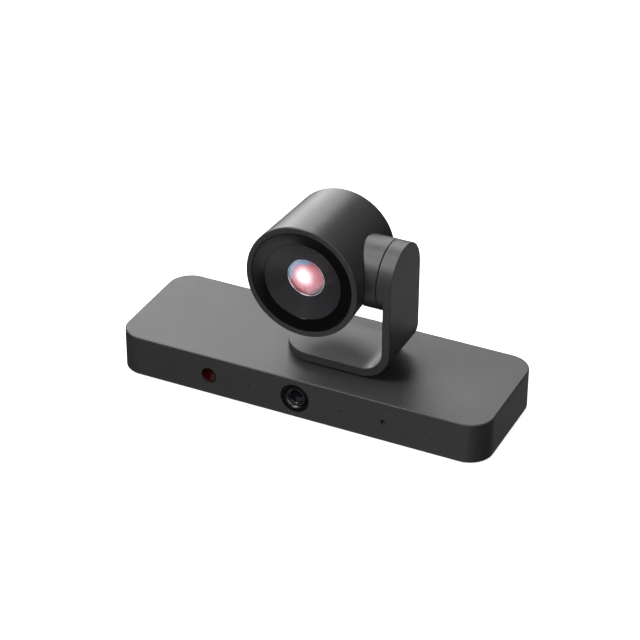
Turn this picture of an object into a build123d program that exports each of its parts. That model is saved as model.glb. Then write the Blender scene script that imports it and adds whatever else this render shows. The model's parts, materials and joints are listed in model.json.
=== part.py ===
from build123d import *
import os
from math import acos, cos, pi, radians, sin, tan

# Camera that pans and tilts on a long base bar. Millimetres, +Z up, front towards -Y.
# The origin is under the middle of the bar, on the surface that it stands on.

# ---- Driving dimensions: base bar ----
base_length = 250.0
base_depth = 85.0
base_height = 27.1
base_corner = 15.6
base_edge_round = 0.9
base_foot_round = 0.5
shell_wall = 2.4
foot_proud = 1.0
foot_radius = 7.0
foot_seat_depth = 0.8
plate_sheet = 2.0
seam_gap = 0.15
boss_radius = 3.4

# ---- Driving dimensions: front face of the bar, with places as shares of its length ----
mic_inner_x = 0.1256 * base_length
mic_outer_x = 0.3516 * base_length
mic_hole_radius = 0.55
signal_x = 0.2378 * base_length
window_radius = 4.7
light_radius = 1.7
wide_bezel_radius = 8.8
wide_bezel_bore = 6.4
wide_barrel_length = 16.0
front_board_height = 10.0
front_board_sheet = 1.2
gasket_thickness = 1.2

# ---- Driving dimensions: yoke ----
axis_y = -0.65
yoke_gap = 1.7
yoke_radius = 22.2
yoke_plate_sheet = 5.5
arm_sheet = 5.15
outer_bend = 19.0
boss_stand = 7.15
boss_depth = 9.6
pivot_split = 0.5
yoke_edge_round = 0.45
pivot_edge_round = 0.25
tilt_axis_rise = 63.7
duct_height = 2.2
duct_width = 12.0

# ---- Driving dimensions: head ----
front_reach = 32.9
back_reach = 28.9
barrel_front_radius = 37.1
barrel_back_radius = 34.35
barrel_wall = 2.2
lip_depth = 2.6
lip_round = 1.1
back_round = 1.6
gloss_outer_radius = 33.45
gloss_inner_radius = 25.3
cone_inner_radius = 12.9
cone_depth = 5.2
front_lens_radius = 11.9
housing_radius = 16.0
housing_wall = 1.6
zoom_travel = 9.0
focus_travel = 4.0

# ---- Driving dimensions: drives ----
gear_module = 0.8
pressure_angle = 25.0
pan_gear_teeth = 48
pan_pinion_teeth = 12
tilt_gear_teeth = 22
tilt_pinion_teeth = 12
gear_width = 3.6
gear_backlash = 0.16
motor_shaft_radius = 1.0
pan_shaft_radius = 7.0
tilt_shaft_radius = 6.0
cable_bore = 4.0

# ---- Named clearances ----
running_fit = 0.05
press_slack = 0.04
slip_gap = 0.1
turning_gap = 0.4

# ---- Levels worked out from the sizes above ----
base_bottom = foot_proud
base_top = base_bottom + base_height
face_z = base_bottom + base_height / 2
front_y = -base_depth / 2
back_y = base_depth / 2
inner_front_y = front_y + shell_wall
roof_z = base_top - shell_wall
floor_z = base_bottom + plate_sheet
board_z = floor_z + 3.0
board_sheet = 1.6
board_top = board_z + board_sheet
plate_low = base_top + yoke_gap
boss_face_x = barrel_front_radius + boss_stand
arm_outer_x = boss_face_x + boss_depth
arm_inner_x = arm_outer_x - arm_sheet
tilt_z = base_top + tilt_axis_rise
hub_face_x = boss_face_x - pivot_split
housing_bore = housing_radius - housing_wall
pan_gear_tip = gear_module * (pan_gear_teeth / 2 + 1)
pan_centre_distance = gear_module * (pan_gear_teeth + pan_pinion_teeth) / 2
tilt_centre_distance = gear_module * (tilt_gear_teeth + tilt_pinion_teeth) / 2


def level(z, x=0.0, y=0.0):
    """Horizontal plane at a height, centred on a point."""
    return Plane(origin=(x, y, z), x_dir=(1, 0, 0), z_dir=(0, 0, 1))


def pan_level(z, x=0.0):
    """Horizontal plane centred on the pan axis, or a distance x to its right."""
    return level(z, x, axis_y)


def face_plane(y, x=0.0, z=face_z):
    """Plane across the bar that faces forwards."""
    return Plane(origin=(x, y, z), x_dir=(1, 0, 0), z_dir=(0, -1, 0))


def lens_plane(reach):
    """Plane across the lens axis that faces forwards, a distance ahead of the tilt axis."""
    return face_plane(axis_y - reach, 0.0, tilt_z)


def pivot_plane(x, y=0.0):
    """Plane across the tilt axis that faces the arm, or one beside it by y."""
    return Plane(origin=(x, axis_y + y, tilt_z), x_dir=(0, 1, 0), z_dir=(1, 0, 0))


def flank_angle(radius, base_radius):
    """Polar angle of an involute flank, from its start on the base circle, in radians."""
    lean = acos(min(1.0, base_radius / radius))
    return tan(lean) - lean


def gear_points(teeth, turn=0.0):
    """Corner points of a spur gear's outline, four on each involute flank."""
    pitch_radius = gear_module * teeth / 2
    base_radius = pitch_radius * cos(radians(pressure_angle))
    tip_radius = pitch_radius + gear_module
    root_radius = pitch_radius - 1.25 * gear_module
    start_radius = max(root_radius, base_radius)
    thickness = pi * gear_module / 2 - gear_backlash / 2
    half_tooth = thickness / pitch_radius / 2 + flank_angle(pitch_radius, base_radius)
    flank = [start_radius + (tip_radius - start_radius) * step / 3 for step in range(4)]
    side = [(radius, half_tooth - flank_angle(radius, base_radius)) for radius in flank]
    if root_radius < base_radius:
        side.insert(0, (root_radius, half_tooth))
    points = []
    for tooth in range(teeth):
        middle = 2 * pi * tooth / teeth + radians(turn)
        rising = [(radius, middle - angle) for radius, angle in side]
        falling = [(radius, middle + angle) for radius, angle in reversed(side)]
        points += [(radius * cos(angle), radius * sin(angle)) for radius, angle in rising + falling]
    return points


def yoke_line(skin, plate_band, arm_band, left_x, top_z):
    """Closed outline of an L-shaped band with concentric bends, set in from the outside by a skin."""
    low = plate_low + skin
    high = low + plate_band
    outer_x = arm_outer_x - skin
    inner_x = outer_x - arm_band
    outer_r = outer_bend - skin
    inner_r = outer_r - plate_band
    with BuildLine() as outline:
        Polyline((left_x, high), (left_x, low), (outer_x - outer_r, low))
        CenterArc((outer_x - outer_r, low + outer_r), outer_r, -90, 90)
        Polyline((outer_x, low + outer_r), (outer_x, top_z), (inner_x, top_z), (inner_x, high + inner_r))
        CenterArc((inner_x - inner_r, high + inner_r), inner_r, -90, 90)
        Line((inner_x - inner_r, high), (left_x, high))
    return outline.line


def cone_radius(reach):
    """Outer radius of the barrel at a distance ahead of the tilt axis."""
    share = (reach + back_reach) / (front_reach + back_reach)
    return barrel_back_radius + (barrel_front_radius - barrel_back_radius) * share


def board_corners(size):
    """Places of a board's four screws about its middle."""
    across = size[0] / 2 - standoff_inset
    along = size[1] / 2 - standoff_inset
    return [(x, y) for x in (-across, across) for y in (-along, along)]


def save(part, name):
    """Label one piece and write it."""
    part.label = name
    export_step(part, f"parts/{name}.step")


os.makedirs("parts", exist_ok=True)
lens_axis = Axis((0, 0, tilt_z), (0, 1, 0))
wide_axis = Axis((0, 0, face_z), (0, 1, 0))
lens_sketch = level(tilt_z)
wide_sketch = level(face_z)

# ======== Base bar ========
end_screw_x = base_length / 2 - 17.0
end_screw_y = base_depth / 2 - 14.5
middle_screw_x = 0.2 * base_length
middle_screw_y = base_depth / 2 - 13.5
base_screw_spots = [(x, y) for x in (-end_screw_x, end_screw_x) for y in (-end_screw_y, end_screw_y)]
base_screw_spots += [(x, -middle_screw_y) for x in (-middle_screw_x, middle_screw_x)]
base_screw_length = 9.0
base_screw_bore_depth = 10.0
chassis_low = floor_z + 10.0
chassis_sheet = 2.0
chassis_top = chassis_low + chassis_sheet
chassis_left_x = -(pan_gear_tip + 2.0)
chassis_right_x = pan_centre_distance + 18.0
chassis_spot_y = 15.0
chassis_end_margin = 5.0
chassis_side_margin = 4.0
chassis_spots = [(x, y) for x in (chassis_left_x, chassis_right_x) for y in (-chassis_spot_y, chassis_spot_y)]
chassis_screw_depth = 6.0
chassis_post_radius = 3.0
screw_radius = 1.25
screw_head_radius = 2.4
screw_key_radius = 0.9
screw_key_depth = 0.9
chassis_screw_head = 1.6
pan_hub_radius = 11.0
pan_flange_radius = 16.0
main_board_size = (66.0, 56.0)
main_board_x = 21.0 + main_board_size[0] / 2 - base_length / 2
main_board_y = back_y - 5.5 - main_board_size[1] / 2
main_board_spot = (main_board_x, main_board_y)
drive_board_size = (0.2 * base_length, 44.0)
drive_board_x = base_length / 2 - 22.0 - drive_board_size[0] / 2
drive_board_spot = (drive_board_x, back_y - 16.5 - drive_board_size[1] / 2)
standoff_radius = 2.5
standoff_inset = 3.5
socket_face_y = back_y - 0.4
socket_slack = 0.2
network_size = (16.0, 13.5, 18.0)
video_size = (15.0, 6.0, 11.0)
usb_size = (9.0, 3.3, 8.0)
power_size = (9.0, 11.0, 13.0)
power_x = main_board_x - 24.0
network_x = main_board_x - 8.0
video_x = main_board_x + 11.0
usb_x = main_board_x + 26.0
power_hole_radius = 3.0
sockets = [(power_x, power_size), (network_x, network_size), (video_x, video_size), (usb_x, usb_size)]
board_post_radius = 2.0
board_post_spots = [share * base_length for share in (-0.3, -0.168, 0.168, 0.3)]
front_board_y = inner_front_y + gasket_thickness
front_board_span = (0.072 * base_length, 0.388 * base_length)
mic_spots = [(x, 0) for x in (-mic_outer_x, -mic_inner_x, mic_inner_x, mic_outer_x)]

with BuildPart() as base_shell:
    with BuildSketch(level(base_bottom)):
        RectangleRounded(base_length, base_depth, base_corner)
    extrude(amount=base_height)
    fillet(base_shell.faces().sort_by(Axis.Z)[-1].edges(), base_edge_round)
    fillet(base_shell.faces().sort_by(Axis.Z)[0].edges(), base_foot_round)
    with BuildSketch(level(base_bottom)):
        RectangleRounded(base_length - 2 * shell_wall, base_depth - 2 * shell_wall, base_corner - shell_wall)
    extrude(amount=base_height - shell_wall, mode=Mode.SUBTRACT)
    with BuildSketch(level(floor_z)):
        with Locations(*base_screw_spots):
            Circle(boss_radius)
    extrude(amount=roof_z - floor_z)
    with BuildSketch(level(floor_z)):
        with Locations(*base_screw_spots):
            Circle(screw_radius)
    extrude(amount=base_screw_bore_depth, mode=Mode.SUBTRACT)
    with BuildSketch(level(chassis_top)):
        with Locations(*chassis_spots):
            Circle(chassis_post_radius)
    extrude(amount=roof_z - chassis_top)
    with BuildSketch(level(chassis_top)):
        with Locations(*chassis_spots):
            Circle(screw_radius)
    extrude(amount=chassis_screw_depth + 1.0, mode=Mode.SUBTRACT)
    with BuildSketch(pan_level(roof_z)):
        Circle(pan_hub_radius + turning_gap)
    extrude(amount=shell_wall, mode=Mode.SUBTRACT)
    with BuildSketch(face_plane(front_board_y)):
        with Locations(*[(x, 0) for x in board_post_spots]):
            Circle(board_post_radius)
    extrude(amount=gasket_thickness)
    with BuildSketch(face_plane(inner_front_y)):
        with Locations((0, 0)):
            Circle(wide_bezel_radius + press_slack)
        with Locations((-signal_x, 0)):
            Circle(window_radius + press_slack)
        with Locations((signal_x, 0)):
            Circle(light_radius + press_slack)
        with Locations(*mic_spots):
            Circle(mic_hole_radius)
    extrude(amount=shell_wall, mode=Mode.SUBTRACT)
    with BuildSketch(face_plane(back_y)):
        for socket_x, size in sockets:
            with Locations((socket_x, board_top + size[1] / 2 - face_z)):
                Rectangle(size[0] + 2 * socket_slack, size[1] + 2 * socket_slack)
    extrude(amount=shell_wall, mode=Mode.SUBTRACT)
save(base_shell.part, "base_shell")

foot_x = base_length / 2 - 31.0
foot_y = base_depth / 2 - 16.5
foot_spots = [(x, y) for x in (-foot_x, foot_x) for y in (-foot_y, foot_y)]
tripod_radius = 3.175
insert_radius = 5.0
insert_flange_radius = 7.5
insert_height = 6.0
insert_flange_sheet = 1.2

with BuildPart() as bottom_plate:
    margin = 2 * (shell_wall + seam_gap)
    with BuildSketch(level(base_bottom)):
        RectangleRounded(base_length - margin, base_depth - margin, base_corner - shell_wall - seam_gap)
    extrude(amount=plate_sheet)
    with BuildSketch(level(floor_z)):
        for spot, size in ((main_board_spot, main_board_size), (drive_board_spot, drive_board_size)):
            with Locations(spot):
                with Locations(*board_corners(size)):
                    Circle(standoff_radius)
    extrude(amount=board_z - floor_z)
    with BuildSketch(level(base_bottom)):
        with Locations(*foot_spots):
            Circle(foot_radius + press_slack)
    extrude(amount=foot_seat_depth, mode=Mode.SUBTRACT)
    with BuildSketch(level(base_bottom)):
        Circle(insert_radius + press_slack)
    extrude(amount=plate_sheet, mode=Mode.SUBTRACT)
    with Locations(Plane(origin=(0, 0, base_bottom), x_dir=(1, 0, 0), z_dir=(0, 0, -1))):
        with Locations(*[(x, -y) for x, y in base_screw_spots]):
            CounterSinkHole(screw_radius + slip_gap, screw_head_radius + slip_gap, counter_sink_angle=90)
save(bottom_plate.part, "bottom_plate")

with BuildPart() as tripod_insert:
    with BuildSketch(level(base_bottom)):
        Circle(insert_radius)
    extrude(amount=insert_height)
    with BuildSketch(level(floor_z)):
        Circle(insert_flange_radius)
    extrude(amount=insert_flange_sheet)
    with BuildSketch(level(base_bottom)):
        Circle(tripod_radius)
    extrude(amount=insert_height, mode=Mode.SUBTRACT)
save(tripod_insert.part, "tripod_insert")

with BuildPart() as rubber_feet:
    with BuildSketch(level(0)):
        with Locations(*foot_spots):
            Circle(foot_radius)
    extrude(amount=foot_proud + foot_seat_depth)
    chamfer(rubber_feet.faces().group_by(Axis.Z)[0].edges(), 0.3)
save(rubber_feet.part, "rubber_feet")

with BuildPart() as bottom_screws:
    with BuildSketch(level(base_bottom + 0.3)):
        with Locations(*base_screw_spots):
            Circle(screw_radius - running_fit)
    extrude(amount=base_screw_length)
    with BuildSketch(level(base_bottom)):
        with Locations(*base_screw_spots):
            Circle(screw_head_radius)
    extrude(amount=screw_head_radius - screw_radius, taper=45)
    with BuildSketch(level(base_bottom)):
        with Locations(*base_screw_spots):
            RegularPolygon(screw_key_radius, 6)
    extrude(amount=screw_key_depth, mode=Mode.SUBTRACT)
save(bottom_screws.part, "bottom_screws")

# ---- Fixed wide lens ----
wide_flange_radius = wide_bezel_radius + 1.4
wide_flange_sheet = 1.8
wide_tube_radius = wide_bezel_bore - 0.2
wide_tube_bore = wide_tube_radius - 0.8
wide_front_y = front_y + 1.4
wide_back_y = wide_front_y + wide_barrel_length
wide_seat_y = inner_front_y + wide_flange_sheet
wide_collar_sheet = 1.0
wide_collar_radius = wide_bezel_radius - 0.6
wide_inner_glass_y = wide_front_y + 9.0
wide_inner_glass_sheet = 2.0
wide_board_sheet = 1.2
wide_sensor_height = 1.1

with BuildPart() as wide_lens_bezel:
    with BuildSketch(wide_sketch):
        Polygon(
            (wide_bezel_bore + 0.7, front_y + 0.25),
            (wide_bezel_radius, front_y + 0.25),
            (wide_bezel_radius, inner_front_y),
            (wide_flange_radius, inner_front_y),
            (wide_flange_radius, wide_seat_y),
            (wide_bezel_bore, wide_seat_y),
            (wide_bezel_bore, front_y + 0.95),
            align=None,
        )
    revolve(axis=wide_axis)
save(wide_lens_bezel.part, "wide_lens_bezel")

with BuildPart() as wide_lens_barrel:
    with BuildSketch(face_plane(wide_back_y)):
        Circle(wide_tube_radius)
    extrude(amount=wide_barrel_length)
    with BuildSketch(face_plane(wide_seat_y + wide_collar_sheet)):
        Circle(wide_collar_radius)
    extrude(amount=wide_collar_sheet)
    with BuildSketch(face_plane(wide_back_y)):
        Circle(wide_tube_bore)
    extrude(amount=wide_barrel_length, mode=Mode.SUBTRACT)
save(wide_lens_barrel.part, "wide_lens_barrel")

glass_radius = wide_tube_bore - press_slack
glass_crown_radius = (glass_radius**2 + 1.2**2) / 2.4
with BuildPart() as wide_lens_front_glass:
    with BuildSketch(wide_sketch):
        with BuildLine():
            Line((0, wide_front_y + 2.9), (0, wide_front_y + 0.3))
            RadiusArc((0, wide_front_y + 0.3), (glass_radius, wide_front_y + 1.5), glass_crown_radius)
            Line((glass_radius, wide_front_y + 1.5), (glass_radius, wide_front_y + 2.9))
            Line((glass_radius, wide_front_y + 2.9), (0, wide_front_y + 2.9))
        make_face()
    revolve(axis=wide_axis)
save(wide_lens_front_glass.part, "wide_lens_front_glass")

with BuildPart() as wide_lens_inner_glass:
    with BuildSketch(face_plane(wide_inner_glass_y)):
        Circle(wide_tube_bore - press_slack)
    extrude(amount=wide_inner_glass_sheet)
save(wide_lens_inner_glass.part, "wide_lens_inner_glass")

with BuildPart() as wide_camera_board:
    with BuildSketch(face_plane(wide_back_y)):
        RectangleRounded(20.0, 18.0, 1.0)
    extrude(amount=-wide_board_sheet)
    with BuildSketch(face_plane(wide_back_y)):
        Rectangle(6.4, 5.2)
    extrude(amount=wide_sensor_height)
save(wide_camera_board.part, "wide_camera_board")

# ---- Window, light and microphones ----
window_seat = 0.9
with BuildPart() as infrared_window:
    with BuildSketch(face_plane(inner_front_y)):
        with Locations((-signal_x, 0)):
            Circle(window_radius)
    extrude(amount=shell_wall - 0.15)
    with BuildSketch(face_plane(inner_front_y)):
        with Locations((-signal_x, 0)):
            Circle(window_radius + 1.2)
    extrude(amount=-window_seat)
save(infrared_window.part, "infrared_window")

receiver_hole = 3.0
receiver_depth = 3.6
microphone_height = 1.1
led_height = 0.7
front_board_back_y = front_board_y + front_board_sheet
with BuildPart() as microphone_boards:
    board_middle = sum(front_board_span) / 2
    board_length = front_board_span[1] - front_board_span[0]
    with BuildSketch(face_plane(front_board_back_y)):
        with Locations((-board_middle, 0), (board_middle, 0)):
            Rectangle(board_length, front_board_height)
        with Locations((-signal_x, 0)):
            Circle(receiver_hole, mode=Mode.SUBTRACT)
        with Locations(*mic_spots):
            Circle(mic_hole_radius, mode=Mode.SUBTRACT)
    extrude(amount=front_board_sheet)
    with BuildSketch(face_plane(front_board_y)):
        with Locations((signal_x, 0)):
            Rectangle(2.0, 1.2)
    extrude(amount=led_height)
save(microphone_boards.part, "microphone_boards")

with BuildPart() as infrared_receiver:
    with BuildSketch(face_plane(front_board_back_y + receiver_depth)):
        with Locations((-signal_x, 0)):
            RectangleRounded(7.4, 7.4, 0.6)
    extrude(amount=receiver_depth)
    with BuildSketch(face_plane(front_board_back_y)):
        with Locations((-signal_x, 0)):
            Circle(receiver_hole - slip_gap)
    extrude(amount=front_board_sheet)
save(infrared_receiver.part, "infrared_receiver")

with BuildPart() as status_light_pipe:
    with BuildSketch(face_plane(inner_front_y)):
        with Locations((signal_x, 0)):
            Circle(light_radius)
    extrude(amount=shell_wall - 0.35)
    with BuildSketch(face_plane(inner_front_y)):
        with Locations((signal_x, 0)):
            Circle(light_radius + 0.8)
    extrude(amount=-(gasket_thickness - led_height))
save(status_light_pipe.part, "status_light_pipe")

with BuildPart() as microphone_gaskets:
    with BuildSketch(face_plane(front_board_y)):
        with Locations(*mic_spots):
            Circle(3.0)
            Circle(mic_hole_radius + 0.2, mode=Mode.SUBTRACT)
    extrude(amount=gasket_thickness)
save(microphone_gaskets.part, "microphone_gaskets")

with BuildPart() as microphones:
    with BuildSketch(face_plane(front_board_back_y + microphone_height)):
        with Locations(*mic_spots):
            RectangleRounded(3.6, 2.8, 0.3)
    extrude(amount=microphone_height)
save(microphones.part, "microphones")

# ---- Boards and sockets ----
processor_spot = (main_board_x, main_board_y - 14.0)
processor_height = 1.6
driver_chip_height = 1.2
spreader_sheet = 2.0
spreader_depth = 22.0
fin_sheet = 1.2
fin_height = 6.0
fin_count = 9
fin_pitch = 4.6

with BuildPart() as main_board:
    with BuildSketch(level(board_z)):
        with Locations(main_board_spot):
            RectangleRounded(main_board_size[0], main_board_size[1], 1.5)
            with Locations(*board_corners(main_board_size)):
                Circle(screw_radius, mode=Mode.SUBTRACT)
    extrude(amount=board_sheet)
save(main_board.part, "main_board")

with BuildPart() as main_processor:
    with BuildSketch(level(board_top)):
        with Locations(processor_spot):
            RectangleRounded(18.0, 18.0, 0.8)
    extrude(amount=processor_height)
save(main_processor.part, "main_processor")

with BuildPart() as heat_spreader:
    with BuildSketch(level(board_top + processor_height)):
        with Locations(processor_spot):
            Rectangle((fin_count - 1) * fin_pitch + 2 * fin_sheet + 0.8, spreader_depth)
    extrude(amount=spreader_sheet)
    with BuildSketch(level(board_top + processor_height + spreader_sheet)):
        with Locations(processor_spot):
            with GridLocations(fin_pitch, 1.0, fin_count, 1):
                Rectangle(fin_sheet, spreader_depth)
    extrude(amount=fin_height)
save(heat_spreader.part, "heat_spreader")


def socket_plane(socket_x, size, depth=0.0):
    """Plane across a socket's mouth that faces backwards, at a depth inside it."""
    mouth = (socket_x, socket_face_y - depth, board_top + size[1] / 2)
    return Plane(origin=mouth, x_dir=(-1, 0, 0), z_dir=(0, 1, 0))


with BuildPart() as power_socket:
    with BuildSketch(socket_plane(power_x, power_size, power_size[2])):
        Rectangle(power_size[0], power_size[1])
    extrude(amount=power_size[2])
    with BuildSketch(socket_plane(power_x, power_size, power_size[2] - 3.0)):
        Circle(power_hole_radius)
    extrude(amount=power_size[2] - 3.0, mode=Mode.SUBTRACT)
    with BuildSketch(socket_plane(power_x, power_size, power_size[2] - 2.0)):
        Circle(1.0)
    extrude(amount=power_size[2] - 3.5)
save(power_socket.part, "power_socket")

network_mouth = (11.9, 8.4)
with BuildPart() as network_socket:
    with BuildSketch(socket_plane(network_x, network_size, network_size[2])):
        Rectangle(network_size[0], network_size[1])
    extrude(amount=network_size[2])
    with BuildSketch(socket_plane(network_x, network_size, network_size[2] - 5.0)):
        Rectangle(network_mouth[0], network_mouth[1])
        with Locations((0, network_mouth[1] / 2 + 0.9)):
            Rectangle(4.0, 1.8)
    extrude(amount=network_size[2] - 5.0, mode=Mode.SUBTRACT)
save(network_socket.part, "network_socket")

with BuildPart() as video_socket:
    with BuildSketch(socket_plane(video_x, video_size, video_size[2])):
        Rectangle(video_size[0], video_size[1])
    extrude(amount=video_size[2])
    with BuildSketch(socket_plane(video_x, video_size, video_size[2] - 2.0)):
        Rectangle(video_size[0] - 1.0, video_size[1] - 1.2)
    extrude(amount=video_size[2] - 2.0, mode=Mode.SUBTRACT)
    with BuildSketch(socket_plane(video_x, video_size, video_size[2] - 1.0)):
        Rectangle(11.0, 1.1)
    extrude(amount=video_size[2] - 2.0)
save(video_socket.part, "video_socket")

with BuildPart() as usb_socket:
    with BuildSketch(socket_plane(usb_x, usb_size, usb_size[2])):
        SlotOverall(usb_size[0], usb_size[1])
    extrude(amount=usb_size[2])
    with BuildSketch(socket_plane(usb_x, usb_size, usb_size[2] - 1.5)):
        SlotOverall(usb_size[0] - 0.6, usb_size[1] - 0.6)
    extrude(amount=usb_size[2] - 1.5, mode=Mode.SUBTRACT)
    with BuildSketch(socket_plane(usb_x, usb_size, usb_size[2] - 1.0)):
        Rectangle(6.2, 0.7)
    extrude(amount=usb_size[2] - 1.6)
save(usb_socket.part, "usb_socket")

with BuildPart() as drive_board:
    with BuildSketch(level(board_z)):
        with Locations(drive_board_spot):
            RectangleRounded(drive_board_size[0], drive_board_size[1], 1.5)
            with Locations(*board_corners(drive_board_size)):
                Circle(screw_radius, mode=Mode.SUBTRACT)
    extrude(amount=board_sheet)
    with BuildSketch(level(board_top)):
        with Locations(drive_board_spot):
            with GridLocations(11.0, 12.0, 3, 2):
                Rectangle(5.0, 4.0)
    extrude(amount=driver_chip_height)
save(drive_board.part, "drive_board")

# ---- Pan drive in the bar ----
bushing_radius = 9.0
bushing_flange_radius = 10.5
bushing_flange_sheet = 1.4
bushing_lip = 0.5
pan_motor_radius = 10.0
pan_motor_low = floor_z + 0.8
motor_nose_radius = 3.4
pan_motor_floor = 2.0
pan_rotor_low = pan_motor_low + pan_motor_floor + 0.4
gear_low = chassis_top + bushing_flange_sheet + slip_gap
gear_high = gear_low + gear_width
clip_sheet = 1.0
shaft_low = chassis_low - 3.2
clip_low = chassis_low - slip_gap - clip_sheet - 0.6
clip_neck_radius = pan_shaft_radius - 0.8

with BuildPart() as pan_chassis:
    chassis_length = chassis_right_x - chassis_left_x + 2 * chassis_end_margin
    with BuildSketch(level(chassis_low, (chassis_left_x + chassis_right_x) / 2)):
        RectangleRounded(chassis_length, 2 * (chassis_spot_y + chassis_side_margin), 3.0)
    extrude(amount=chassis_sheet)
    with BuildSketch(pan_level(chassis_low)):
        Circle(bushing_radius + press_slack)
        with Locations((pan_centre_distance, 0)):
            Circle(motor_nose_radius + press_slack)
    extrude(amount=chassis_sheet, mode=Mode.SUBTRACT)
    with BuildSketch(level(chassis_low)):
        with Locations(*chassis_spots):
            Circle(screw_radius + slip_gap)
    extrude(amount=chassis_sheet, mode=Mode.SUBTRACT)
save(pan_chassis.part, "pan_chassis")

with BuildPart() as pan_chassis_screws:
    with BuildSketch(level(chassis_low)):
        with Locations(*chassis_spots):
            Circle(screw_radius - running_fit)
    extrude(amount=chassis_sheet + chassis_screw_depth)
    with BuildSketch(level(chassis_low)):
        with Locations(*chassis_spots):
            Circle(screw_head_radius)
    extrude(amount=-chassis_screw_head)
    with BuildSketch(level(chassis_low - chassis_screw_head)):
        with Locations(*chassis_spots):
            RegularPolygon(screw_key_radius, 6)
    extrude(amount=screw_key_depth, mode=Mode.SUBTRACT)
save(pan_chassis_screws.part, "pan_chassis_screws")

with BuildPart() as pan_bushing:
    with BuildSketch(pan_level(chassis_low - bushing_lip)):
        Circle(bushing_radius)
    extrude(amount=chassis_sheet + bushing_lip)
    with BuildSketch(pan_level(chassis_top)):
        Circle(bushing_flange_radius)
    extrude(amount=bushing_flange_sheet)
    with BuildSketch(pan_level(chassis_low - bushing_lip)):
        Circle(pan_shaft_radius + running_fit)
    extrude(amount=bushing_lip + chassis_sheet + bushing_flange_sheet, mode=Mode.SUBTRACT)
save(pan_bushing.part, "pan_bushing")

with BuildPart() as pan_motor:
    with BuildSketch(pan_level(pan_motor_low, pan_centre_distance)):
        Circle(pan_motor_radius)
    extrude(amount=chassis_low - pan_motor_low)
    with BuildSketch(pan_level(chassis_low, pan_centre_distance)):
        Circle(motor_nose_radius)
    extrude(amount=chassis_sheet)
    with BuildSketch(pan_level(pan_motor_low + pan_motor_floor, pan_centre_distance)):
        Circle(motor_shaft_radius + running_fit)
    extrude(amount=chassis_top - pan_motor_low - pan_motor_floor, mode=Mode.SUBTRACT)
save(pan_motor.part, "pan_motor")

with BuildPart() as pan_pinion:
    with BuildSketch(pan_level(pan_rotor_low, pan_centre_distance)):
        Circle(motor_shaft_radius)
    extrude(amount=gear_high - pan_rotor_low)
    with BuildSketch(pan_level(gear_low, pan_centre_distance)):
        Polygon(*gear_points(pan_pinion_teeth, 180 / pan_pinion_teeth), align=None)
    extrude(amount=gear_width)
save(pan_pinion.part, "pan_pinion")

# ======== Yoke ========
hub_flange_low = base_top + turning_gap
hub_screw_circle = 8.6
hub_head_depth = 2.2
hub_screw_spots = [(hub_screw_circle * cos(a), hub_screw_circle * sin(a)) for a in (pi / 3, pi, 5 * pi / 3)]
hub_screw_radius = 1.0
hub_screw_head_radius = 1.7
thread_depth = 3.0

with BuildPart() as pan_hub:
    with BuildSketch(pan_level(shaft_low)):
        Circle(pan_shaft_radius)
    extrude(amount=gear_high - shaft_low)
    with BuildSketch(pan_level(gear_high)):
        Circle(pan_hub_radius)
    extrude(amount=plate_low - gear_high)
    with BuildSketch(pan_level(hub_flange_low)):
        Circle(pan_flange_radius)
    extrude(amount=plate_low - hub_flange_low)
    with BuildSketch(pan_level(shaft_low)):
        Circle(cable_bore)
    extrude(amount=plate_low - shaft_low, mode=Mode.SUBTRACT)
    with BuildSketch(pan_level(clip_low)):
        Circle(pan_shaft_radius + 1.0)
        Circle(clip_neck_radius, mode=Mode.SUBTRACT)
    extrude(amount=clip_sheet, mode=Mode.SUBTRACT)
    with BuildSketch(pan_level(gear_high)):
        with Locations(*hub_screw_spots):
            Circle(hub_screw_head_radius + slip_gap)
    extrude(amount=hub_head_depth, mode=Mode.SUBTRACT)
    with BuildSketch(pan_level(gear_high)):
        with Locations(*hub_screw_spots):
            Circle(hub_screw_radius + slip_gap)
    extrude(amount=plate_low - gear_high, mode=Mode.SUBTRACT)
save(pan_hub.part, "pan_hub")

with BuildPart() as pan_hub_screws:
    with BuildSketch(pan_level(gear_high + 0.3)):
        with Locations(*hub_screw_spots):
            Circle(hub_screw_head_radius)
    extrude(amount=hub_head_depth - 0.3)
    with BuildSketch(pan_level(gear_high + hub_head_depth)):
        with Locations(*hub_screw_spots):
            Circle(hub_screw_radius)
    extrude(amount=plate_low + thread_depth - 0.4 - gear_high - hub_head_depth)
save(pan_hub_screws.part, "pan_hub_screws")

with BuildPart() as pan_gear:
    with BuildSketch(pan_level(gear_low)):
        Polygon(*gear_points(pan_gear_teeth), align=None)
        Circle(pan_shaft_radius + press_slack, mode=Mode.SUBTRACT)
        with PolarLocations(12.5, 6):
            Circle(3.0, mode=Mode.SUBTRACT)
    extrude(amount=gear_width)
save(pan_gear.part, "pan_gear")

with BuildPart() as pan_retaining_clip:
    with BuildSketch(pan_level(clip_low)):
        Circle(pan_shaft_radius + 1.6)
        Circle(clip_neck_radius + press_slack, mode=Mode.SUBTRACT)
        with Locations((0, -pan_shaft_radius)):
            Rectangle(5.0, 8.0, mode=Mode.SUBTRACT)
    extrude(amount=clip_sheet)
save(pan_retaining_clip.part, "pan_retaining_clip")

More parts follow.
